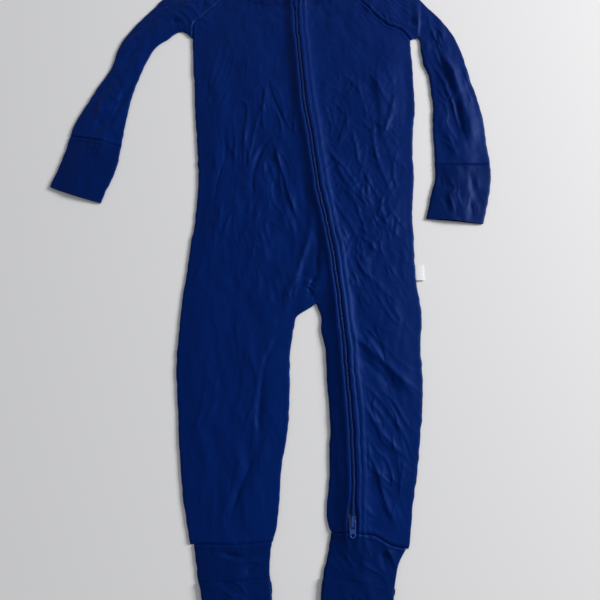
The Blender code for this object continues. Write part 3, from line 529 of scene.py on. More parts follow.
def distance_map(lines, reach):
    """Each cell's distance from the nearest line, up to reach."""
    field = np.full(MAP_SHAPE, float(reach))
    for line in lines:
        for start, end in zip(line[:-1], line[1:]):
            box = window(np.minimum(start, end) - reach, np.maximum(start, end) + reach)
            away, _, _ = to_stretch(MAP_X[box[1]], MAP_Y[box[0]][:, None], start, end)
            field[box] = np.minimum(field[box], away)
    return field


def at_points(field, points):
    """A map's value at points of the plan, straight between its cells."""
    x = np.clip((points[..., 0] - MAP_X[0]) / CELL, 0, MAP_SHAPE[1] - 1.001)
    y = np.clip((points[..., 1] - MAP_Y[0]) / CELL, 0, MAP_SHAPE[0] - 1.001)
    j = x.astype(int)
    i = y.astype(int)
    u = x - j
    v = y - i
    low = field[i, j] * (1 - u) + field[i, j + 1] * u
    high = field[i + 1, j] * (1 - u) + field[i + 1, j + 1] * u
    return low * (1 - v) + high * v


def hills(seed, across, stretch=1.0, turn=0.0):
    """Random hills and hollows of unit deviation: white noise kept to waves about across
    long one way and stretch times that the other, turned from +y by turn degrees."""
    white = np.random.default_rng(seed).standard_normal(MAP_SHAPE)
    fy = np.fft.fftfreq(MAP_SHAPE[0], CELL)[:, None]
    fx = np.fft.rfftfreq(MAP_SHAPE[1], CELL)
    cosine = math.cos(math.radians(turn))
    sine = math.sin(math.radians(turn))
    wave = ((fx * cosine + fy * sine) * across) ** 2
    wave = wave + ((fy * cosine - fx * sine) * across * stretch) ** 2
    made = np.fft.irfft2(np.fft.rfft2(white) * wave * np.exp(-wave), s=MAP_SHAPE)
    return made / made.std()


def fine_creases(seed, spacing, stretch, turn, width):
    """Ridges along the lines where random hills cross their mean height, in places and not
    in others. A ridge's side towards +x is several times as broad as its other side."""
    land = hills(seed, spacing, stretch, turn)
    slope_y, slope_x = np.gradient(land, CELL)
    steep = np.hypot(slope_x, slope_y) + 0.3 / spacing
    lean = np.sign(land) * np.tanh(3 * slope_x / steep)
    patchy = np.clip(0.55 + 0.55 * hills(seed + 100, spacing * 2.2, 1.6, turn), 0, 1.3)
    return np.exp(-((np.abs(land) / steep / width / (1.5 + 0.95 * lean)) ** 1.3)) * patchy


def panel_edges(name):
    """A panel's two edges, row by row from its lower end to its upper one."""
    if name in TUBE_PANELS:
        table, first, second = TUBE_PANELS[name]
        return column(table, ("seam", "fold"), first), column(table, ("seam", "fold"), second)
    first, second, low, high = BODY_PANELS[name]
    names = [row[0] for row in SECTIONS]
    rows = slice(names.index(low), names.index(high) + 1)
    return section(first)[rows], section(second)[rows]


def on_panel(name, places):
    """Places on the plan, from shares across a panel and shares up its middle line."""
    edges = panel_edges(name)
    knots = lengths((edges[0] + edges[1]) / 2)
    across, up = np.array(places, float).T
    first, second = (
        np.stack([np.interp(up * knots[-1], knots, line[:, k]) for k in (0, 1)], -1)
        for line in edges
    )
    return first + across[:, None] * (second - first)


def lay_creases(field, table, seed):
    """Adds each crease: a crest that falls off to both sides, fades out at its two ends and
    swells and shrinks along its way."""
    rng = np.random.default_rng(seed)
    for height, left, right, *points in table:
        points = np.array(points, float)
        knots = lengths(points)
        line = spline(points, knots, np.linspace(0, knots[-1], max(3, round(knots[-1] / 2.5))))
        reach = 2.6 * max(left, right)
        box = window(line.min(0) - reach, line.max(0) + reach)
        x, y = np.meshgrid(MAP_X[box[1]], MAP_Y[box[0]])
        nearest = np.full(x.shape, 1e9)
        side = np.zeros(x.shape)
        along = np.zeros(x.shape)
        count = len(line) - 1
        for k in range(count):
            away, turn, share = to_stretch(x, y, line[k], line[k + 1])
            closer = away < nearest
            nearest = np.where(closer, away, nearest)
            side = np.where(closer, turn, side)
            along = np.where(closer, (k + share) / count, along)
        reach_here = np.where(side > 0, left, right)
        swell = 1 + 0.25 * np.sin(2 * math.pi * (rng.uniform(0.8, 2.2) * along + rng.uniform()))
        ends = smooth_step(0, 0.28, along) * smooth_step(0, 0.28, 1 - along)
        crest = np.exp(-((nearest / reach_here) ** 1.5))
        field[box] += height * crest * swell * (0.12 + 0.88 * ends)


def oval(x, y, reach_x, reach_y):
    """1 in the middle of an oval patch, fading to 0 at its edge."""
    away = np.hypot((MAP_X - x) / reach_x, (MAP_Y[:, None] - y) / reach_y)
    return 1 - smooth_step(0.55, 1.0, away)


# ---------------------------------------------------------------- the height of the cloth

STEP = 1.46  # between the fronts' rows and columns
STEP_BACK = 2.0
STEP_SLEEVE = 1.15
STEP_CUFF = 0.9


def folded_edges():
    """The lines where the upper layer turns into the lower one."""
    low = round(BODY_RUN / 2.0)
    crotch_y = section("inseam_right")[CROTCH_ROW, 1]
    right, left = edge("inseam_right", "zip", 2.0)[:low], edge("inseam_left", "zip", 2.0)[:low]
    right, left = right[right[:, 1] < crotch_y], left[left[:, 1] < crotch_y - 0.5]
    tips = section("inseam_right")[CROTCH_ROW], section("inseam_left")[CROTCH_ROW]
    lines = [
        edge("side_right", "front_right", 2.0)[:low],
        edge("side_left", "front_left", 2.0)[:low],
        np.vstack([right, *tips, left[::-1]]),
    ]
    for table, side in ((SLEEVE_RIGHT, "right"), (SLEEVE_LEFT, "left")):
        lines += tube_edges(table, 2.0, side)
    for table in (HAND_CUFF_RIGHT, HAND_CUFF_LEFT, LEG_CUFF_RIGHT, LEG_CUFF_LEFT):
        lines += tube_edges(table, 4.0)
    return lines


FOLDED = folded_edges()
FOLD_STARTS = np.vstack([line[:-1] for line in FOLDED])
FOLD_RUNS = np.vstack([line[1:] - line[:-1] for line in FOLDED])
FOLD_MAP = distance_map(FOLDED, 30.0)


def from_fold(points):
    """Each point's distance from the nearest folded edge, exact where it is small."""
    flat = points.reshape(-1, 2)
    away = at_points(FOLD_MAP, flat)
    near = np.flatnonzero(away < ROUND_UPPER + 1.5)
    squares = (FOLD_RUNS**2).sum(1)
    for part in np.array_split(near, max(1, len(near) // 1500)):
        offset = flat[part][:, None] - FOLD_STARTS
        share = np.clip((offset * FOLD_RUNS).sum(-1) / squares, 0, 1)
        away[part] = np.linalg.norm(offset - share[..., None] * FOLD_RUNS, axis=-1).min(1)
    return away.reshape(points.shape[:-1])


def seam_lines():
    """The sewn seams of the upper layer."""
    lines = [
        spline(shoulder("front_" + side), SHOULDER_KNOTS, row_places(2.0)[1])
        for side in ("right", "left")
    ]
    hem = section("side_right")[0], section("inseam_right")[0]
    lines.append(np.stack(hem))
    hem = section("inseam_left")[0], section("zip")[0], section("side_left")[0]
    lines.append(np.stack(hem))
    for table in (SLEEVE_RIGHT, SLEEVE_LEFT):
        lines.append(np.array([table[0][1:3], table[0][3:5]], float))
    return lines


SEAM_MAP = distance_map(seam_lines(), 8.0)


def zip_form(aside, y):
    """The lips' profile over the ridge: a rounded lip, the sunk line of stitches beside it,
    and the step where the tape below ends, which on the right front falls away at once."""
    wider = lip_gap(y) - LIP_GAP
    out = np.abs(aside) - wider * np.clip((9 - np.abs(aside)) / 5, 0, 1)
    lip = LIP_RISE * np.exp(-np.abs((out - LIP_CREST) / 2.3) ** 3)
    stitched = -0.7 * np.exp(-(((out - STITCHED) / 0.5) ** 2))
    step = np.where(aside > 0, smooth_step(10.6, 12.2, out), smooth_step(7.6, 9.0, out))
    return lip + stitched + 0.7 * (1 - step)


def upper_map():
    """The height of the upper layer's outer face, with all its folds and creases."""
    x, y = np.meshgrid(MAP_X, MAP_Y)
    aside = beside_zip(np.stack([x, y], -1))
    rise = 1 - np.exp(-((FOLD_MAP / LOFT_REACH) ** 2))
    there = np.clip((y + 266) / 24, 0, 1) * np.clip((308 - y) / 6, 0, 1)
    slack = smooth_step(150, 90, y) * smooth_step(-60, -30, y)
    wide = ZIP_SPREAD[0] + 5.0 * slack + 4.0 * smooth_step(-40, -70, y)
    spread = np.where(aside < 0, wide, ZIP_SPREAD[1])
    ridge = np.exp(-(np.abs(aside / spread) ** np.where(aside < 0, 4 - 2.0 * slack, 4)))
    form = LOFT * rise + ZIP_LIFT * there * ridge
    creases = np.zeros(MAP_SHAPE)
    tables = [
        [(*row[:3], *on_panel(name, row[3:])) for row in rows]
        for name, rows in CREASES_ON_PANELS.items()
    ]
    tables += [CREASES_CROTCH, CREASES_SHOULDERS]
    for seed, table in enumerate(tables):
        lay_creases(creases, table, seed)
    for seed, (_, px, py, rx, ry, turn, spacing, stretch, height, wide) in enumerate(FINE_UPPER):
        creases += height * oval(px, py, rx, ry) * fine_creases(20 + seed, spacing, stretch, turn, wide)
    creases += 0.30 * hills(71, 70, 1.8) + 0.22 * hills(72, 30, 2.0, 10) + 0.07 * hills(73, 12, 1.8)
    for seed, (_, px, py, rx, ry, turn, spacing, stretch, height) in enumerate(SOFT):
        creases += height * oval(px, py, rx, ry) * hills(120 + seed, spacing, stretch, turn)
    off_zip = 1 - 0.85 * np.exp(-((aside / 12.0) ** 4)) * there
    near_seam = np.exp(-((SEAM_MAP / 0.9) ** 2)) - 0.45 * np.exp(-(((SEAM_MAP - 2.3) / 1.1) ** 2))
    height = form + creases * off_zip * (0.35 + 0.65 * rise) + zip_form(aside, y) * there
    return 2 * CLOTH + SEAM + np.maximum(height, -0.35) - 0.95 * near_seam


def lower_map():
    """The height of the lower layer's outer face, which lifts off the surface in creases."""
    creases = np.zeros(MAP_SHAPE)
    lay_creases(creases, CREASES_BACK, 50)
    for seed, (_, px, py, rx, ry, turn, spacing, stretch, height, wide) in enumerate(FINE_LOWER):
        creases += height * oval(px, py, rx, ry) * fine_creases(60 + seed, spacing, stretch, turn, wide)
    return 0.9 * (1 - np.exp(-np.maximum(creases, 0) / 0.9))


UPPER = upper_map()
LOWER = lower_map()
HEM_SAG_X = (43, 52, 61, 68, 76, 85, 92)  # the left leg's hem rises and falls again outwards
HEM_SAG = (0, 1.7, 2.9, 1.0, -1.3, -0.8, 0)
SAGGING = np.outer(np.exp(-(((MAP_Y + 247) / 12) ** 2)), np.interp(MAP_X, HEM_SAG_X, HEM_SAG))
WARP = np.stack([0.4 * hills(81, 75) + 0.16 * hills(83, 15), 0.35 * hills(82, 80) + SAGGING], -1)


def rounded(away, reach):
    """How far a layer has risen, at a distance from the fold, along a quarter of an oval."""
    return np.sqrt(1 - (1 - np.clip(away / reach, 0, 1)) ** 2)


def upper_height(points):
    """The upper layer's height: its map's, less where it turns down at a folded edge."""
    top = at_points(UPPER, points)
    return MIDDLE + (top - MIDDLE) * rounded(from_fold(points), ROUND_UPPER)


def lower_height(points):
    """The lower layer's height: its map's, more where it turns up at a folded edge."""
    bottom = at_points(LOWER, points)
    return MIDDLE + (bottom - MIDDLE) * rounded(from_fold(points), ROUND_LOWER)


def warped(points):
    """The plan pushed about a little, so that no edge or seam runs dead straight. The zip's
    hard pieces stay where they are."""
    push = np.stack([at_points(WARP[..., k], points) for k in (0, 1)], -1)
    hard = np.exp(-(((points[..., 1] + 237) / 16) ** 2) - ((points[..., 0] - 44) / 14) ** 2)
    return points + push * (1 - hard)[..., None]


# ---------------------------------------------------------------- meshes


def put(name, points, faces, finish, body="garment", uv=None, stands_for=(), slot=None):
    """A mesh of quads from points in millimetres, riding on its body."""
    used, faces = np.unique(faces, return_inverse=True)
    faces = faces.reshape(-1, 4)
    points = points.reshape(-1, 3)[used] * UNIT
    mesh = bpy.data.meshes.new(name)
    mesh.vertices.add(len(points))
    mesh.vertices.foreach_set("co", points.astype(np.float32).ravel())
    mesh.loops.add(faces.size)
    mesh.loops.foreach_set("vertex_index", faces.astype(np.int32).ravel())
    mesh.polygons.add(len(faces))
    mesh.polygons.foreach_set("loop_start", np.arange(0, faces.size, 4, dtype=np.int32))
    mesh.update(calc_edges=True)
    mesh.validate()
    if uv is not None:
        layer = mesh.uv_layers.new(name="cloth")
        flat = uv.reshape(-1, 2)[used][faces.ravel()] * UNIT
        layer.data.foreach_set("uv", flat.astype(np.float32).ravel())
    mesh.shade_smooth()
    mesh.set_sharp_from_angle(angle=math.radians(62))
    mesh.materials.append(finish)
    made = bpy.data.objects.new(name, mesh)
    bpy.context.scene.collection.objects.link(made)
    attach(made, body)
    if stands_for:
        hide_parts(*stands_for)
    return made


def cells(rows, columns, keep=None):
    """The corner indices of a grid's cells."""
    index = np.arange(rows * columns).reshape(rows, columns)
    corners = (index[:-1, :-1], index[:-1, 1:], index[1:, 1:], index[1:, :-1])
    keep = np.ones((rows - 1, columns - 1), bool) if keep is None else keep
    return np.stack([c[keep] for c in corners], 1)


def point_normals(points, faces):
    """The mean of the faces' normals round each point."""
    corner = points[faces]
    normal = np.cross(corner[:, 2] - corner[:, 0], corner[:, 3] - corner[:, 1])
    total = np.zeros_like(points)
    for k in range(4):
        np.add.at(total, faces[:, k], normal)
    return total / np.maximum(np.linalg.norm(total, axis=1, keepdims=True), 1e-12)


def shell(name, outer, finish, thick=JERSEY, up=True, keep=None, uv=None, **more):
    """A closed wall: the outer grid, the same grid moved in along its normals, and a rim.

    up says that the first column faces upwards.
    """
    rows, columns = outer.shape[:2]
    points = outer.reshape(-1, 3)
    faces = cells(rows, columns, keep)
    first = points[faces[: rows // 2]]
    facing = np.cross(first[:, 2] - first[:, 0], first[:, 3] - first[:, 1])[:, 2].sum() > 0
    if facing != up:
        faces = faces[:, ::-1]
    inner = points - point_normals(points, faces) * thick
    total = len(points)
    starts = faces.ravel()
    ends = np.roll(faces, -1, axis=1).ravel()
    open_edge = ~np.isin(starts * total + ends, ends * total + starts)
    a = starts[open_edge]
    b = ends[open_edge]
    rim = np.stack([b, a, a + total, b + total], 1)
    faces = np.concatenate([faces, faces[:, ::-1] + total, rim])
    if uv is None:
        uv = outer[..., :2].reshape(-1, 2)
    return put(name, np.vstack([points, inner]), faces, finish, uv=np.vstack([uv, uv]), **more)


FOLD_STEPS = np.array([0, 0.12, 0.4, 0.85, 1.5, 2.3, 3.2])  # columns beside a folded edge
LIP_STEPS = np.array([0, 0.12, 0.35, 0.75, 1.3])
PLAIN = np.array([0.0])


def across(left, right, spacing, start, end):
    """Rows of points between two edges, close together along edges that round off."""
    width = np.linalg.norm(right - left, axis=1)[:, None]
    near = start / width
    far = 1 - end[::-1] / width
    count = round(float(np.percentile(width, 85)) / spacing)
    between = near[:, -1:] + (far[:, :1] - near[:, -1:]) * np.linspace(0, 1, count + 1)[1:-1]
    share = np.hstack([near, between, far])[..., None]
    return left[:, None] * (1 - share) + right[:, None] * share


def raised(points, height):
    """Points of the plan with their height as z."""
    return np.concatenate([points, np.broadcast_to(height, points.shape[:-1])[..., None]], -1)


def sagged(plan, depth, step):
    """The rows above the underarm sag towards the middle, the whole depth at the neck."""
    count = len(row_places(step)[1])
    dip = np.zeros(len(plan))
    dip[-count:] = depth * np.linspace(0, 1, count) ** 1.5
    share = np.linspace(0, 1, plan.shape[1])
    plan[..., 1] -= np.outer(dip, np.sin(math.pi * share))
    return plan


# ---------------------------------------------------------------- finishes


def finish_of(name, colour, roughness, **sockets):
    """A material with constant values on its shader's own sockets."""
    made = bpy.data.materials.new(name)
    made.use_nodes = True
    shader = made.node_tree.nodes["Principled BSDF"]
    shader.inputs["Base Color"].default_value = (*colour, 1)
    shader.inputs["Roughness"].default_value = roughness
    for socket, value in sockets.items():
        shader.inputs[socket.replace("_", " ")].default_value = value
    return made, made.node_tree, shader


def node(tree, kind, **values):
    """A node whose plain attributes are set by name, and its inputs by number as in_0."""
    made = tree.nodes.new("ShaderNode" + kind)
    for key, value in values.items():
        if key.startswith("in_"):
            place = key[3:]
            place = int(place) if place.isdigit() else place
            if isinstance(value, bpy.types.NodeSocket):
                tree.links.new(value, made.inputs[place])
            else:
                made.inputs[place].default_value = value
        else:
            setattr(made, key, value)
    return made


def maths(tree, operation, *values):
    """The result of one Math node."""
    inputs = {f"in_{k}": value for k, value in enumerate(values)}
    return node(tree, "Math", operation=operation, **inputs).outputs[0]


def knit_height(tree, wale, course):
    """The face of plain knit: each stitch is a V in its column, so the wave along a column
    runs ahead towards the column's two sides, and the column is round across."""
    uv = node(tree, "UVMap", uv_map="cloth").outputs[0]
    parts = node(tree, "SeparateXYZ", in_0=uv)
    column_place = maths(tree, "FRACT", maths(tree, "DIVIDE", parts.outputs[0], wale))
    aside = maths(tree, "ABSOLUTE", maths(tree, "SUBTRACT", column_place, 0.5))
    row_place = maths(tree, "DIVIDE", parts.outputs[1], course)
    phase = maths(tree, "MULTIPLY", maths(tree, "ADD", row_place, aside), 2 * math.pi)
    wave = maths(tree, "MULTIPLY", maths(tree, "SINE", phase), 0.3)
    arch = maths(tree, "SINE", maths(tree, "MULTIPLY", column_place, math.pi))
    return maths(tree, "ADD", arch, wave)


def jersey(name, colour, wale=0.00075, course=0.00055, bump=0.12):
    """Smooth plain knit with a soft sheen, its shade uneven by a few parts in a hundred."""
    made, tree, shader = finish_of(
        name, colour, 0.5, Sheen_Weight=0.05, Sheen_Roughness=0.35, Sheen_Tint=(0.2, 0.42, 1.0, 1),
        Specular_IOR_Level=0.16, Specular_Tint=(0.1, 0.32, 1.0, 1),
    )
    place = node(tree, "TexCoord").outputs["Object"]
    cloudy = node(tree, "TexNoise", in_Vector=place, in_Scale=38.0, in_Detail=3.0)
    fibres = node(tree, "TexNoise", in_Vector=place, in_Scale=900.0, in_Detail=2.0)
    shade = maths(tree, "MULTIPLY_ADD", cloudy.outputs[0], 0.22, 0.82)
    shade = maths(tree, "MULTIPLY_ADD", fibres.outputs[0], 0.16, shade)
    tint = node(tree, "Mix", data_type="RGBA", blend_type="MULTIPLY")
    tint.inputs["Factor"].default_value = 1.0
    tint.inputs[6].default_value = (*colour, 1)
    grey = node(tree, "CombineColor")
    for k in range(3):
        tree.links.new(shade, grey.inputs[k])
    tree.links.new(grey.outputs[0], tint.inputs[7])
    tree.links.new(tint.outputs[2], shader.inputs["Base Color"])
    height = knit_height(tree, wale, course)
    height = maths(tree, "MULTIPLY_ADD", fibres.outputs[0], 0.9, height)
    rough = node(tree, "Bump", in_Strength=bump, in_Distance=0.0003, in_Height=height)
    tree.links.new(rough.outputs[0], shader.inputs["Normal"])
    return made


def woven(name, colour, pitch=0.0009):
    """Narrow woven tape: a fine basket of threads both ways."""
    made, tree, shader = finish_of(name, colour, 0.7, Specular_IOR_Level=0.15, Sheen_Weight=0.15)
    uv = node(tree, "UVMap", uv_map="cloth").outputs[0]
    parts = node(tree, "SeparateXYZ", in_0=uv)
    waves = [
        maths(tree, "SINE", maths(tree, "MULTIPLY", parts.outputs[k], 2 * math.pi / pitch))
        for k in (0, 1)
    ]
    height = maths(tree, "MULTIPLY", *waves)
    rough = node(tree, "Bump", in_Strength=0.3, in_Distance=0.0002, in_Height=height)
    tree.links.new(rough.outputs[0], shader.inputs["Normal"])
    return made


def glossy(name, colour, roughness, metallic=0.0, specular=0.5, coat=0.0):
    """Moulded or painted: a hard face whose gloss is uneven on a fine scale."""
    made, tree, shader = finish_of(
        name, colour, roughness, Metallic=metallic, Specular_IOR_Level=specular,
        Coat_Weight=coat, Coat_Roughness=0.15, Specular_Tint=(0.45, 0.65, 1.0, 1),
    )
    place = node(tree, "TexCoord").outputs["Object"]
    grain = node(tree, "TexNoise", in_Vector=place, in_Scale=1500.0, in_Detail=2.0)
    rough = node(tree, "Bump", in_Strength=0.08, in_Distance=0.0002, in_Height=grain.outputs[0])
    tree.links.new(rough.outputs[0], shader.inputs["Normal"])
    return made


BLUE = (0.00045, 0.0101, 0.0905)
JERSEY_BLUE = jersey("jersey_blue", BLUE)
CUFF_BLUE = jersey("cuff_blue", (0.0004, 0.0084, 0.075))
TAPE_BLUE = woven("tape_blue", (0.0006, 0.008, 0.07))
COIL_BLUE = glossy("coil_blue", (0.001, 0.014, 0.11), 0.38, specular=0.3)
CORD_BLUE = glossy("cord_blue", (0.0006, 0.009, 0.075), 0.7, specular=0.1)
THREAD_BLUE = glossy("thread_blue", (0.001, 0.014, 0.12), 0.5, specular=0.3)
PAINT_BLUE = glossy("paint_blue", (0.006, 0.045, 0.25), 0.25, metallic=0.25, coat=0.6)
LABEL_WHITE = woven("label_white", (0.72, 0.73, 0.76), 0.0006)

# ---------------------------------------------------------------- the cloth pieces


def inseam_column(name, left, right, step):
    """An inseam's line from hem to neck. Above the crotch it keeps its share of the width."""
    low_count = len(row_places(step)[0])
    rows = section(name)
    end = low_count - 1
    armhole = rows[-1]
    near = np.argmin(np.abs(left[:low_count, 1] - armhole[1]))
    share = (armhole[0] - left[near, 0]) / (right[near, 0] - left[near, 0])
    top = left[end] * (1 - share) + right[end] * share
    low = spline(np.vstack([rows, top]), SECTION_KNOTS, row_places(step)[0])
    high = left[low_count:] * (1 - share) + right[low_count:] * share
    return np.vstack([low, high])


def two_legged(left, right, step, right_steps):
    """A plan from side to side whose cells part below the crotch, and those cells."""
    one = inseam_column("inseam_right", left, right, step)
    two = inseam_column("inseam_left", left, right, step)
    legs = (
        across(left, one, step, FOLD_STEPS, FOLD_STEPS),
        across(one, two, step, PLAIN, PLAIN)[:, 1:-1],
        across(two, right, step, FOLD_STEPS, right_steps),
    )
    plan = np.concatenate(legs, 1)
    keep = np.ones((plan.shape[0] - 1, plan.shape[1] - 1), bool)
    crotch = SECTION_KNOTS[CROTCH_ROW]
    below = int(np.searchsorted(row_places(step)[0], crotch))
    first = legs[0].shape[1] - 1
    keep[:below, first : first + legs[1].shape[1] + 1] = False
    return plan, keep


def lip_edge(step, side):
    """The zip's line moved to the edge of the right (-1) or the left (1) front."""
    line = edge("zip", "zip", step)
    gap = side * lip_gap(line[:, 1])
    hem = section("side_left" if side > 0 else "inseam_left")[0] - line[0]
    line[:, 1] += gap * hem[1] / hem[0] * np.exp(-(line[:, 1] - line[0, 1]) / 8)
    line[:, 0] += gap
    return line


def lip_rolled(height, plan, side):
    """A front's edge at the zip rolls down and in."""
    out = side * (plan[..., 0] - zip_x(plan[..., 1])) - lip_gap(plan[..., 1])
    return height - 1.5 * (1 - rounded(np.maximum(out, 0), 1.5))


def make_front_right():
    """The right front, with both legs' upper layer as far as the zip."""
    left = edge("side_right", "front_right", STEP)
    plan, keep = two_legged(left, lip_edge(STEP, -1), STEP, LIP_STEPS)
    plan = sagged(plan, FRONT_DIP_RIGHT, STEP)
    height = lip_rolled(upper_height(plan), plan, -1)
    shell("cloth_front_right", raised(warped(plan), height), JERSEY_BLUE, keep=keep,
          stands_for=("front_right",), slot="jersey")
    return plan[-1]


def make_front_left():
    """The left front, from the zip to the left side."""
    right = edge("side_left", "front_left", STEP)
    plan = across(lip_edge(STEP, 1), right, STEP, LIP_STEPS, FOLD_STEPS)
    plan = sagged(plan, FRONT_DIP_LEFT, STEP)
    height = lip_rolled(upper_height(plan), plan, 1)
    shell("cloth_front_left", raised(warped(plan), height), JERSEY_BLUE,
          stands_for=("front_left",), slot="jersey")
    return plan[-1]


def make_back():
    """The back, one piece under both legs."""
    left = edge("side_right", "back_right", STEP_BACK)
    right = edge("side_left", "back_left", STEP_BACK)
    plan, keep = two_legged(left, right, STEP_BACK, FOLD_STEPS)
    plan = sagged(plan, BACK_DIP, STEP_BACK)
    shell("cloth_back", raised(warped(plan), lower_height(plan)), JERSEY_BLUE, up=False, keep=keep,
          stands_for=("back",), slot="jersey")
    return plan[-1]


def level(x):
    """No rise."""
    return 0.0 * x


def hem_rise(x):
    """How far the left leg's hem on the upper layer rises above a straight line."""
    inner, peak, outer = (section(name)[0] for name in ("inseam_left", "zip", "side_left"))
    straight = np.interp(peak[0], (inner[0], outer[0]), (inner[1], outer[1]))
    return np.interp(x, (inner[0], peak[0], outer[0]), (0, peak[1] - straight, 0))


def tube(name, seam, back_seam, fold, spacing, finish, stands_for, slot, thick=JERSEY, rise=level):
    """A flattened tube: the upper layer from its seam edge to its fold, and the lower layer
    back to the seam edge, as one wall. rise is how far its last row bends up on top."""
    upper = across(seam, fold, spacing, FOLD_STEPS, FOLD_STEPS)
    below = upper[-1:, :, 1] - upper[..., 1]
    upper[..., 1] += rise(upper[-1, :, 0]) * np.exp(-((below / 10.0) ** 2))
    lower = across(fold, back_seam, spacing * 1.5, FOLD_STEPS, FOLD_STEPS)[:, 1:]
    top = upper_height(upper)
    bottom = lower_height(lower)
    plan = np.concatenate([warped(upper), warped(lower)], 1)
    outer = raised(plan, np.concatenate([top, bottom], 1))
    round_way = np.cumsum(np.linalg.norm(np.diff(outer, axis=1, prepend=outer[:, :1]), axis=2), 1)
    along = lengths((seam + fold) / 2)
    uv = np.stack([round_way, np.broadcast_to(along[:, None], round_way.shape)], -1)
    shell(name, outer, finish, thick=thick, uv=uv.reshape(-1, 2), stands_for=stands_for, slot=slot)
    return upper, lower


def make_sleeve(side, table):
    """A raglan sleeve from wrist to neck."""
    seam, fold = tube_edges(table, STEP_SLEEVE, side)
    places = row_places(STEP_SLEEVE)[1]
    rows = [
        np.vstack([seam, spline(shoulder(half + side), SHOULDER_KNOTS, places)[1:]])
        for half in ("front_", "back_")
    ]
    name = "cloth_sleeve_" + side
    upper, lower = tube(
        name, rows[0], rows[1], fold, STEP_SLEEVE, JERSEY_BLUE, ("sleeve_" + side,), "jersey"
    )
    return upper[-1], lower[-1]


def make_cuff(name, table):
    """One cuff as a flat tube, its upper end bent where the left leg's hem is."""
    seam, fold = tube_edges(table, STEP_CUFF)
    tube("cloth_" + name, seam, seam, fold, STEP_CUFF, CUFF_BLUE, (name,), "rib", thick=0.8,
         rise=hem_rise if table is LEG_CUFF_LEFT else level)


def make_foot_cover(name, table):
    """The layer turned over a leg cuff's end, from its edge on top and round the end down to the floor.
    """
    rows = table[:3]
    seam = column(rows, ("seam", "fold"), "seam")
    fold = column(rows, ("seam", "fold"), "fold")
    knots = lengths((seam + fold) / 2)
    at = np.linspace(0, knots[-1], round(knots[-1] / STEP_CUFF))
    plan = across(spline(seam, knots, at), spline(fold, knots, at), STEP_CUFF, FOLD_STEPS, FOLD_STEPS)
    lift = CLOTH + SEAM
    top = MIDDLE + (at_points(UPPER, plan) + lift - MIDDLE) * rounded(from_fold(plan), 2.2)
    turns = np.linspace(0, math.pi / 2, 8)[:-1]
    end = plan[0][None] - np.stack([0 * turns, (CLOTH + SEAM) * np.cos(turns)], 1)[:, None]
    drop = top[0][None] * np.sin(turns)[:, None]
    plan = np.concatenate([end, plan])
    top = np.concatenate([drop, top])
    shell("cloth_" + name, raised(warped(plan), top), CUFF_BLUE, thick=0.7,
          stands_for=(name,), slot="rib")


def make_neckband(spans):
    """The band round the neck, from the zip's right lip to its left one. Each span is a
    layer and the top edge of the pieces it is sewn to; the band leans to the middle."""
    middle = float(zip_x(GUARD_TOP_Y))
    rows = np.linspace(0, BAND_WIDTH, round(BAND_WIDTH / 1.0) + 1)
    parts = []
    for number, (layer, seam) in enumerate(spans):
        seam = respaced(seam, 1.0)
        lean = np.stack([(middle - seam[:, 0]) / 60, np.ones(len(seam))], 1)
        lean /= np.linalg.norm(lean, axis=1, keepdims=True)
        plan = seam[None] + rows[:, None, None] * lean
        for side, end in ((-1, 0), (1, -1)):
            if number == (0 if side < 0 else 2):
                y = plan[:, end, 1]
                shift = zip_x(y) + side * lip_gap(y) - plan[:, end, 0]
                fade = np.exp(-lengths(seam if end == 0 else seam[::-1]) / 6)
                plan[..., 0] += shift[:, None] * (fade if end == 0 else fade[::-1])
        way = lengths(seam)
        fold = np.full(len(way), 1e9)
        if number < 2:
            fold = np.minimum(fold, way[-1] - way)
        if number > 0:
            fold = np.minimum(fold, way)
        turn = rounded(fold, 2.5)[None]
        rolled = rounded(BAND_WIDTH - rows, 1.6)[:, None]
        gather = 0.22 * np.sin(way / 2.6 + 1.7 * np.sin(way / 9.0))
        gather = gather * np.sin(math.pi * rows / BAND_WIDTH)[:, None]
        if layer == "upper":
            padded = 0.5 * smooth_step(0, 2.5, rows)[:, None]
            top = at_points(UPPER, plan) + gather + padded - 0.8 * (1 - rolled)
            height = MIDDLE + (top - MIDDLE) * turn
        else:
            height = MIDDLE + (0.5 * np.abs(gather) + 0.5 * (1 - rolled) - MIDDLE) * turn
        parts.append(raised(warped(plan), height)[:, (1 if number else 0) :])
    outer = np.concatenate(parts, 1)
    way = lengths(outer[0, :, :2])
    size = outer.shape[:2]
    uv = np.stack([np.broadcast_to(way, size), np.broadcast_to(rows[:, None], size)], -1)
    shell("cloth_neckband", outer, CUFF_BLUE, thick=0.9, uv=uv.reshape(-1, 2),
          stands_for=("neckband",), slot="rib")


# ---------------------------------------------------------------- the zip


def bed(y):
    """The height of the ridge under the zip's middle, without the cloth's own creases."""
    steps = np.arange(-250.0, 312.0, 1.0)
    line = at_points(UPPER, np.stack([zip_x(steps), steps], -1))
    calm = np.convolve(np.pad(line, 8, mode="edge"), np.ones(17) / 17, mode="valid")
    return np.interp(y, steps, calm)


def zip_plan(y, offsets):
    """Points beside the zip's middle line, at each y and each distance from it."""
    away = np.broadcast_to(offsets, (len(y), np.shape(offsets)[-1]))
    along = np.interp(y, ZIP_LINE[:, 1], ZIP_COSINE)[:, None]
    return np.stack(np.broadcast_arrays(zip_x(y)[:, None] + away / along, y[:, None]), -1)


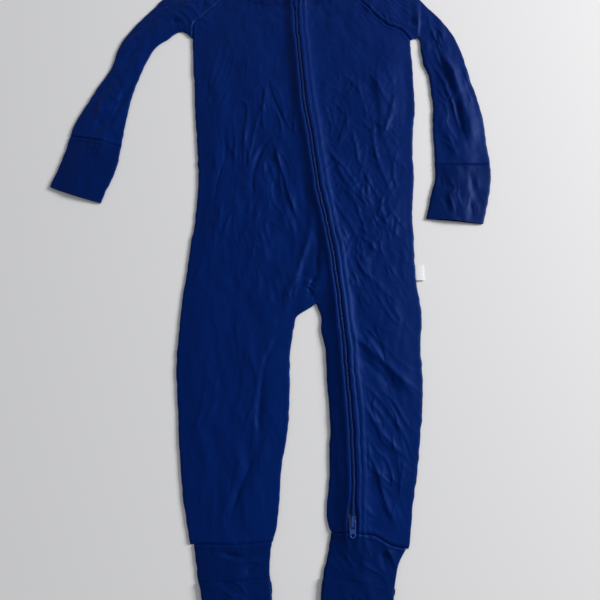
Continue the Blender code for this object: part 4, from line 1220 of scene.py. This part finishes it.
def make_tapes():
    """Each woven tape runs under its front, from the coil to past the line of stitches."""
    y = np.arange(-246.0, 304.5, 2.0)
    inner = np.where(y < SLIDER_Y[1] + 1, 0.1, 0.4)
    share = np.linspace(0, 1, 13)
    for side, sign in (("right", -1), ("left", 1)):
        away = inner[:, None] * (1 - share) + 10.0 * share
        plan = zip_plan(y, sign * away)
        height = np.minimum(bed(y)[:, None] - 1.0, at_points(UPPER, plan) - JERSEY - 0.25)
        name = "woven_tape_" + side
        shell(name, raised(warped(plan), height), TAPE_BLUE, thick=0.4,
              stands_for=("zip_tape_" + side,), slot="zip_tape")


def spindle(width, length, height, sides=6, rings=4):
    """A closed bar along y, round across and thinner at both ends, and its faces."""
    share = np.linspace(-1, 1, rings)
    thin = np.sqrt(1 - 0.85 * share**2)
    turns = np.linspace(0, 2 * math.pi, sides, endpoint=False)
    points = np.stack(np.broadcast_arrays(
        width / 2 * np.cos(turns) * thin[:, None],
        length / 2 * share[:, None],
        height / 2 * np.sin(turns) * thin[:, None],
    ), -1).reshape(-1, 3)
    ring = np.arange(sides)
    after = (ring + 1) % sides
    walls = [np.stack([k + ring, k + after, k + after + sides, k + ring + sides], 1)
             for k in range(0, sides * (rings - 1), sides)]
    caps = np.array([(0, k + 2, k + 1, k) for k in range(1, sides - 2, 2)])
    far = caps[:, ::-1] + sides * (rings - 1)
    return points, np.concatenate([*walls, caps, far])[:, ::-1]


def strewn(name, line, shape, finish, slot, tilt=0.0):
    """Copies of one small shape along a line, as one mesh: x lies to the line's right, y
    along it and z up, leaning to the side by tilt."""
    points, faces = shape
    along = np.gradient(line, axis=0)
    along /= np.linalg.norm(along, axis=1, keepdims=True)
    side = np.cross(along, (0, 0, 1))
    side /= np.linalg.norm(side, axis=1, keepdims=True)
    up = np.cross(side, along)
    made = line[:, None] + points[:, :1] * side[:, None] + points[:, 1:2] * along[:, None]
    made = made + (points[:, 2:] + tilt * points[:, :1]) * up[:, None]
    count = len(points) * np.arange(len(line))
    faces = (faces[None] + count[:, None, None]).reshape(-1, 4)
    return put(name, made, faces, finish, slot=slot)


TEETH_PITCH = 1.15
COIL_HALF = 1.75


def make_coil():
    """The closed coil: a crowned strip with the spirals' loops across it, in a row along it."""
    y = np.arange(SLIDER_Y[0] - 4.0, 297.0, 1.5)
    share = np.linspace(-1, 1, 9)
    plan = zip_plan(y, COIL_HALF * share)
    height = bed(y)[:, None] - 0.1 - 0.55 * share**2
    shell("coil_cord", raised(warped(plan), height), CORD_BLUE, thick=0.7,
          stands_for=("zip_coil",), slot="zip_coil")
    y = np.arange(SLIDER_Y[0] - 3.0, 296.0, TEETH_PITCH)
    middle = zip_plan(y, [0.0])[:, 0]
    line = raised(warped(middle), bed(y) + 0.05)
    points, faces = spindle(2 * COIL_HALF, 0.8, 0.75, sides=8, rings=3)
    points[:, 2] -= 0.45 * (points[:, 0] / COIL_HALF) ** 2
    strewn("coil_loops", line, (points, faces), COIL_BLUE, "zip_coil")


def make_guard():
    """The tab over the zip's end: a rounded point between the lips, widening to the top."""
    y = np.linspace(GUARD_TIP_Y + 0.6, GUARD_TOP_Y, 27)
    half = np.minimum(lip_gap(y) - 0.1, LIP_GAP_TOP) * rounded(y - GUARD_TIP_Y - 0.4, 3.0)
    share = np.sin(np.linspace(-1, 1, 13) * math.pi / 2)
    plan = zip_plan(y, half[:, None] * share)
    height = bed(y)[:, None] + 0.25 + 0.75 * np.sqrt(1 - 0.97 * share**2)
    shell("cloth_guard", raised(warped(plan), height), JERSEY_BLUE, thick=0.6,
          stands_for=("zip_guard",), slot="jersey")


def softened(node_name, name, finish, width, body="garment"):
    """A CAD node's shape with its doubles merged and its edges rounded."""
    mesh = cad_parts[node_name].data.copy()
    mesh.materials.clear()
    mesh.materials.append(finish)
    work = bmesh.new()
    work.from_mesh(mesh)
    bmesh.ops.remove_doubles(work, verts=work.verts, dist=1e-6)
    bmesh.ops.dissolve_limit(work, angle_limit=math.radians(4), verts=work.verts, edges=work.edges)
    work.to_mesh(mesh)
    work.free()
    mesh.shade_smooth()
    made = bpy.data.objects.new(name, mesh)
    bpy.context.scene.collection.objects.link(made)
    bevel = made.modifiers.new("round", "BEVEL")
    bevel.width = width * UNIT
    bevel.segments = 3
    bevel.limit_method = "ANGLE"
    bevel.angle_limit = math.radians(35)
    bevel.harden_normals = False
    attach(made, body)
    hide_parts(node_name)
    return made


# ---------------------------------------------------------------- stitches and label


def sew(name, plan, pitch=3.0, length=2.3, thick=0.42):
    """A row of stitches on the upper layer, along a line of its plan."""
    line = respaced(plan, pitch)
    height = at_points(UPPER, line) + 0.04
    strewn(name, raised(warped(line), height), spindle(thick, length, thick), THREAD_BLUE, "jersey")


def make_stitches():
    """The stitches beside the zip, and two rows along each front's neckline."""
    y = np.arange(-239.0, 297.0, 1.0)
    for side, sign in (("right", -1), ("left", 1)):
        away = sign * (STITCHED + (lip_gap(y) - LIP_GAP) * 0.4)
        sew("stitches_zip_" + side, zip_plan(y, away[:, None])[:, 0])
    for side, top in (("right", front_right), ("left", front_left)):
        rows = top[np.abs(beside_zip(top)) > SEAM_ROWS_END]
        for number, drop in enumerate((1.6, 3.6)):
            sew(f"stitches_neck_{side}_{number}", rows - [0, drop], pitch=2.6, length=2.0, thick=0.36)


LABEL_SIZE = (8.0, 15.5)
LABEL_TOP = -2.5


def make_label():
    """A folded woven tab that comes out of the left side seam: its profile runs out on top,
    turns at the fold and runs back below."""
    wide, high = LABEL_SIZE
    y = LABEL_TOP - np.linspace(high, 0, 32)
    side = section("side_left")
    root = np.interp(y, side[:, 1], side[:, 0]) - 1.0
    out = np.linspace(0, wide + 0.6, 15)
    turns = np.linspace(math.pi / 2, -math.pi / 2, 9)[1:-1]
    profile_x = np.concatenate([out, wide + 0.6 + 0.4 * np.cos(turns), out[::-1]])
    profile_z = np.concatenate([0.0 * out + 0.4, 0.4 * np.sin(turns), 0.0 * out - 0.4])
    sag = 1.15 - 0.5 * (profile_x / wide) + 0.25 * np.sin(profile_x / wide * 3.0)
    curl = 0.35 * ((y - y.mean()) / high * 2) ** 2
    x = root[:, None] + profile_x
    z = sag + profile_z * np.clip(profile_x / 2 + 0.3, 0.3, 1) + curl[:, None] * (profile_x / wide)
    outer = np.stack([x, np.broadcast_to(y[:, None], x.shape), np.maximum(z, 0.1)], -1)
    way = np.cumsum(np.hypot(np.gradient(profile_x), np.gradient(profile_z)))
    uv = np.stack([np.broadcast_to(way, x.shape), np.broadcast_to(y[:, None], x.shape)], -1)
    shell("woven_label", outer, LABEL_WHITE, thick=0.22, uv=uv.reshape(-1, 2),
          stands_for=("label",), slot="label")


# ---------------------------------------------------------------- building

front_right = make_front_right()
front_left = make_front_left()
back = make_back()
sleeve_right = make_sleeve("right", SLEEVE_RIGHT)
sleeve_left = make_sleeve("left", SLEEVE_LEFT)
make_cuff("hand_cuff_right", HAND_CUFF_RIGHT)
make_cuff("hand_cuff_left", HAND_CUFF_LEFT)
make_cuff("leg_cuff_right", LEG_CUFF_RIGHT)
make_cuff("leg_cuff_left", LEG_CUFF_LEFT)
make_foot_cover("foot_cover_right", LEG_CUFF_RIGHT)
make_foot_cover("foot_cover_left", LEG_CUFF_LEFT)

make_neckband((
    ("upper", np.vstack([front_right[::-1], sleeve_right[0][1:]])),
    ("lower", np.vstack([sleeve_right[1], back[1:-1], sleeve_left[1][::-1]])),
    ("upper", np.vstack([sleeve_left[0][::-1], front_left[::-1][1:]])),
))
make_tapes()
make_coil()
make_guard()
softened("zip_slider", "painted_slider", PAINT_BLUE, 0.22)
softened("zip_pull", "painted_pull", PAINT_BLUE, 0.25, body="pull_tab")
make_stitches()
make_label()

# ---------------------------------------------------------------- floor, light and camera


def plane(name, size, height, finish):
    """A level square, attached to no body."""
    mesh = bpy.data.meshes.new(name)
    turns = ((-1, -1), (1, -1), (1, 1), (-1, 1))
    corners = [(size * x, size * y, height) for x, y in turns]
    mesh.from_pydata(corners, [], [(0, 1, 2, 3)])
    mesh.materials.append(finish)
    made = bpy.data.objects.new(name, mesh)
    bpy.context.scene.collection.objects.link(made)


FLOOR_WHITE = finish_of("floor_white", (0.715, 0.715, 0.72), 0.9, Specular_IOR_Level=0.1)[0]
plane("floor", 3.0, -0.0002, FLOOR_WHITE)


def lamp(name, place, target, size, power, colour=(1, 1, 1)):
    """A soft square lamp that faces its target."""
    data = bpy.data.lights.new(name, "AREA")
    data.size = size
    data.energy = power
    data.color = colour
    made = bpy.data.objects.new(name, data)
    made.location = place
    made.rotation_euler = (Vector(target) - Vector(place)).to_track_quat("-Z", "Y").to_euler()
    bpy.context.scene.collection.objects.link(made)


lamp("window", (2.2, 0.7, 1.15), (0.0, 0.0, 0.0), 0.85, 89.0, (1.0, 0.99, 0.98))
world = bpy.data.worlds.new("room")
world.use_nodes = True
world.node_tree.nodes["Background"].inputs[0].default_value = (0.93, 0.95, 1.0, 1)
world.node_tree.nodes["Background"].inputs[1].default_value = 0.37
bpy.context.scene.world = world
bpy.context.scene.view_settings.view_transform = "Standard"

VIEW_MIDDLE = (-1.4, -37.0)
VIEW_AWAY = 570.0
VIEW_ELEVATION = math.radians(76)
camera = bpy.data.cameras.new("camera")
camera.lens = 36
camera.sensor_width = 36
eye = bpy.data.objects.new("camera", camera)
eye.location = Vector((
    VIEW_MIDDLE[0],
    VIEW_MIDDLE[1] - VIEW_AWAY * math.cos(VIEW_ELEVATION),
    VIEW_AWAY * math.sin(VIEW_ELEVATION),
)) * UNIT
toward = Vector((*VIEW_MIDDLE, 0)) * UNIT - eye.location
eye.rotation_euler = toward.to_track_quat("-Z", "Y").to_euler()
bpy.context.scene.collection.objects.link(eye)
bpy.context.scene.camera = eye
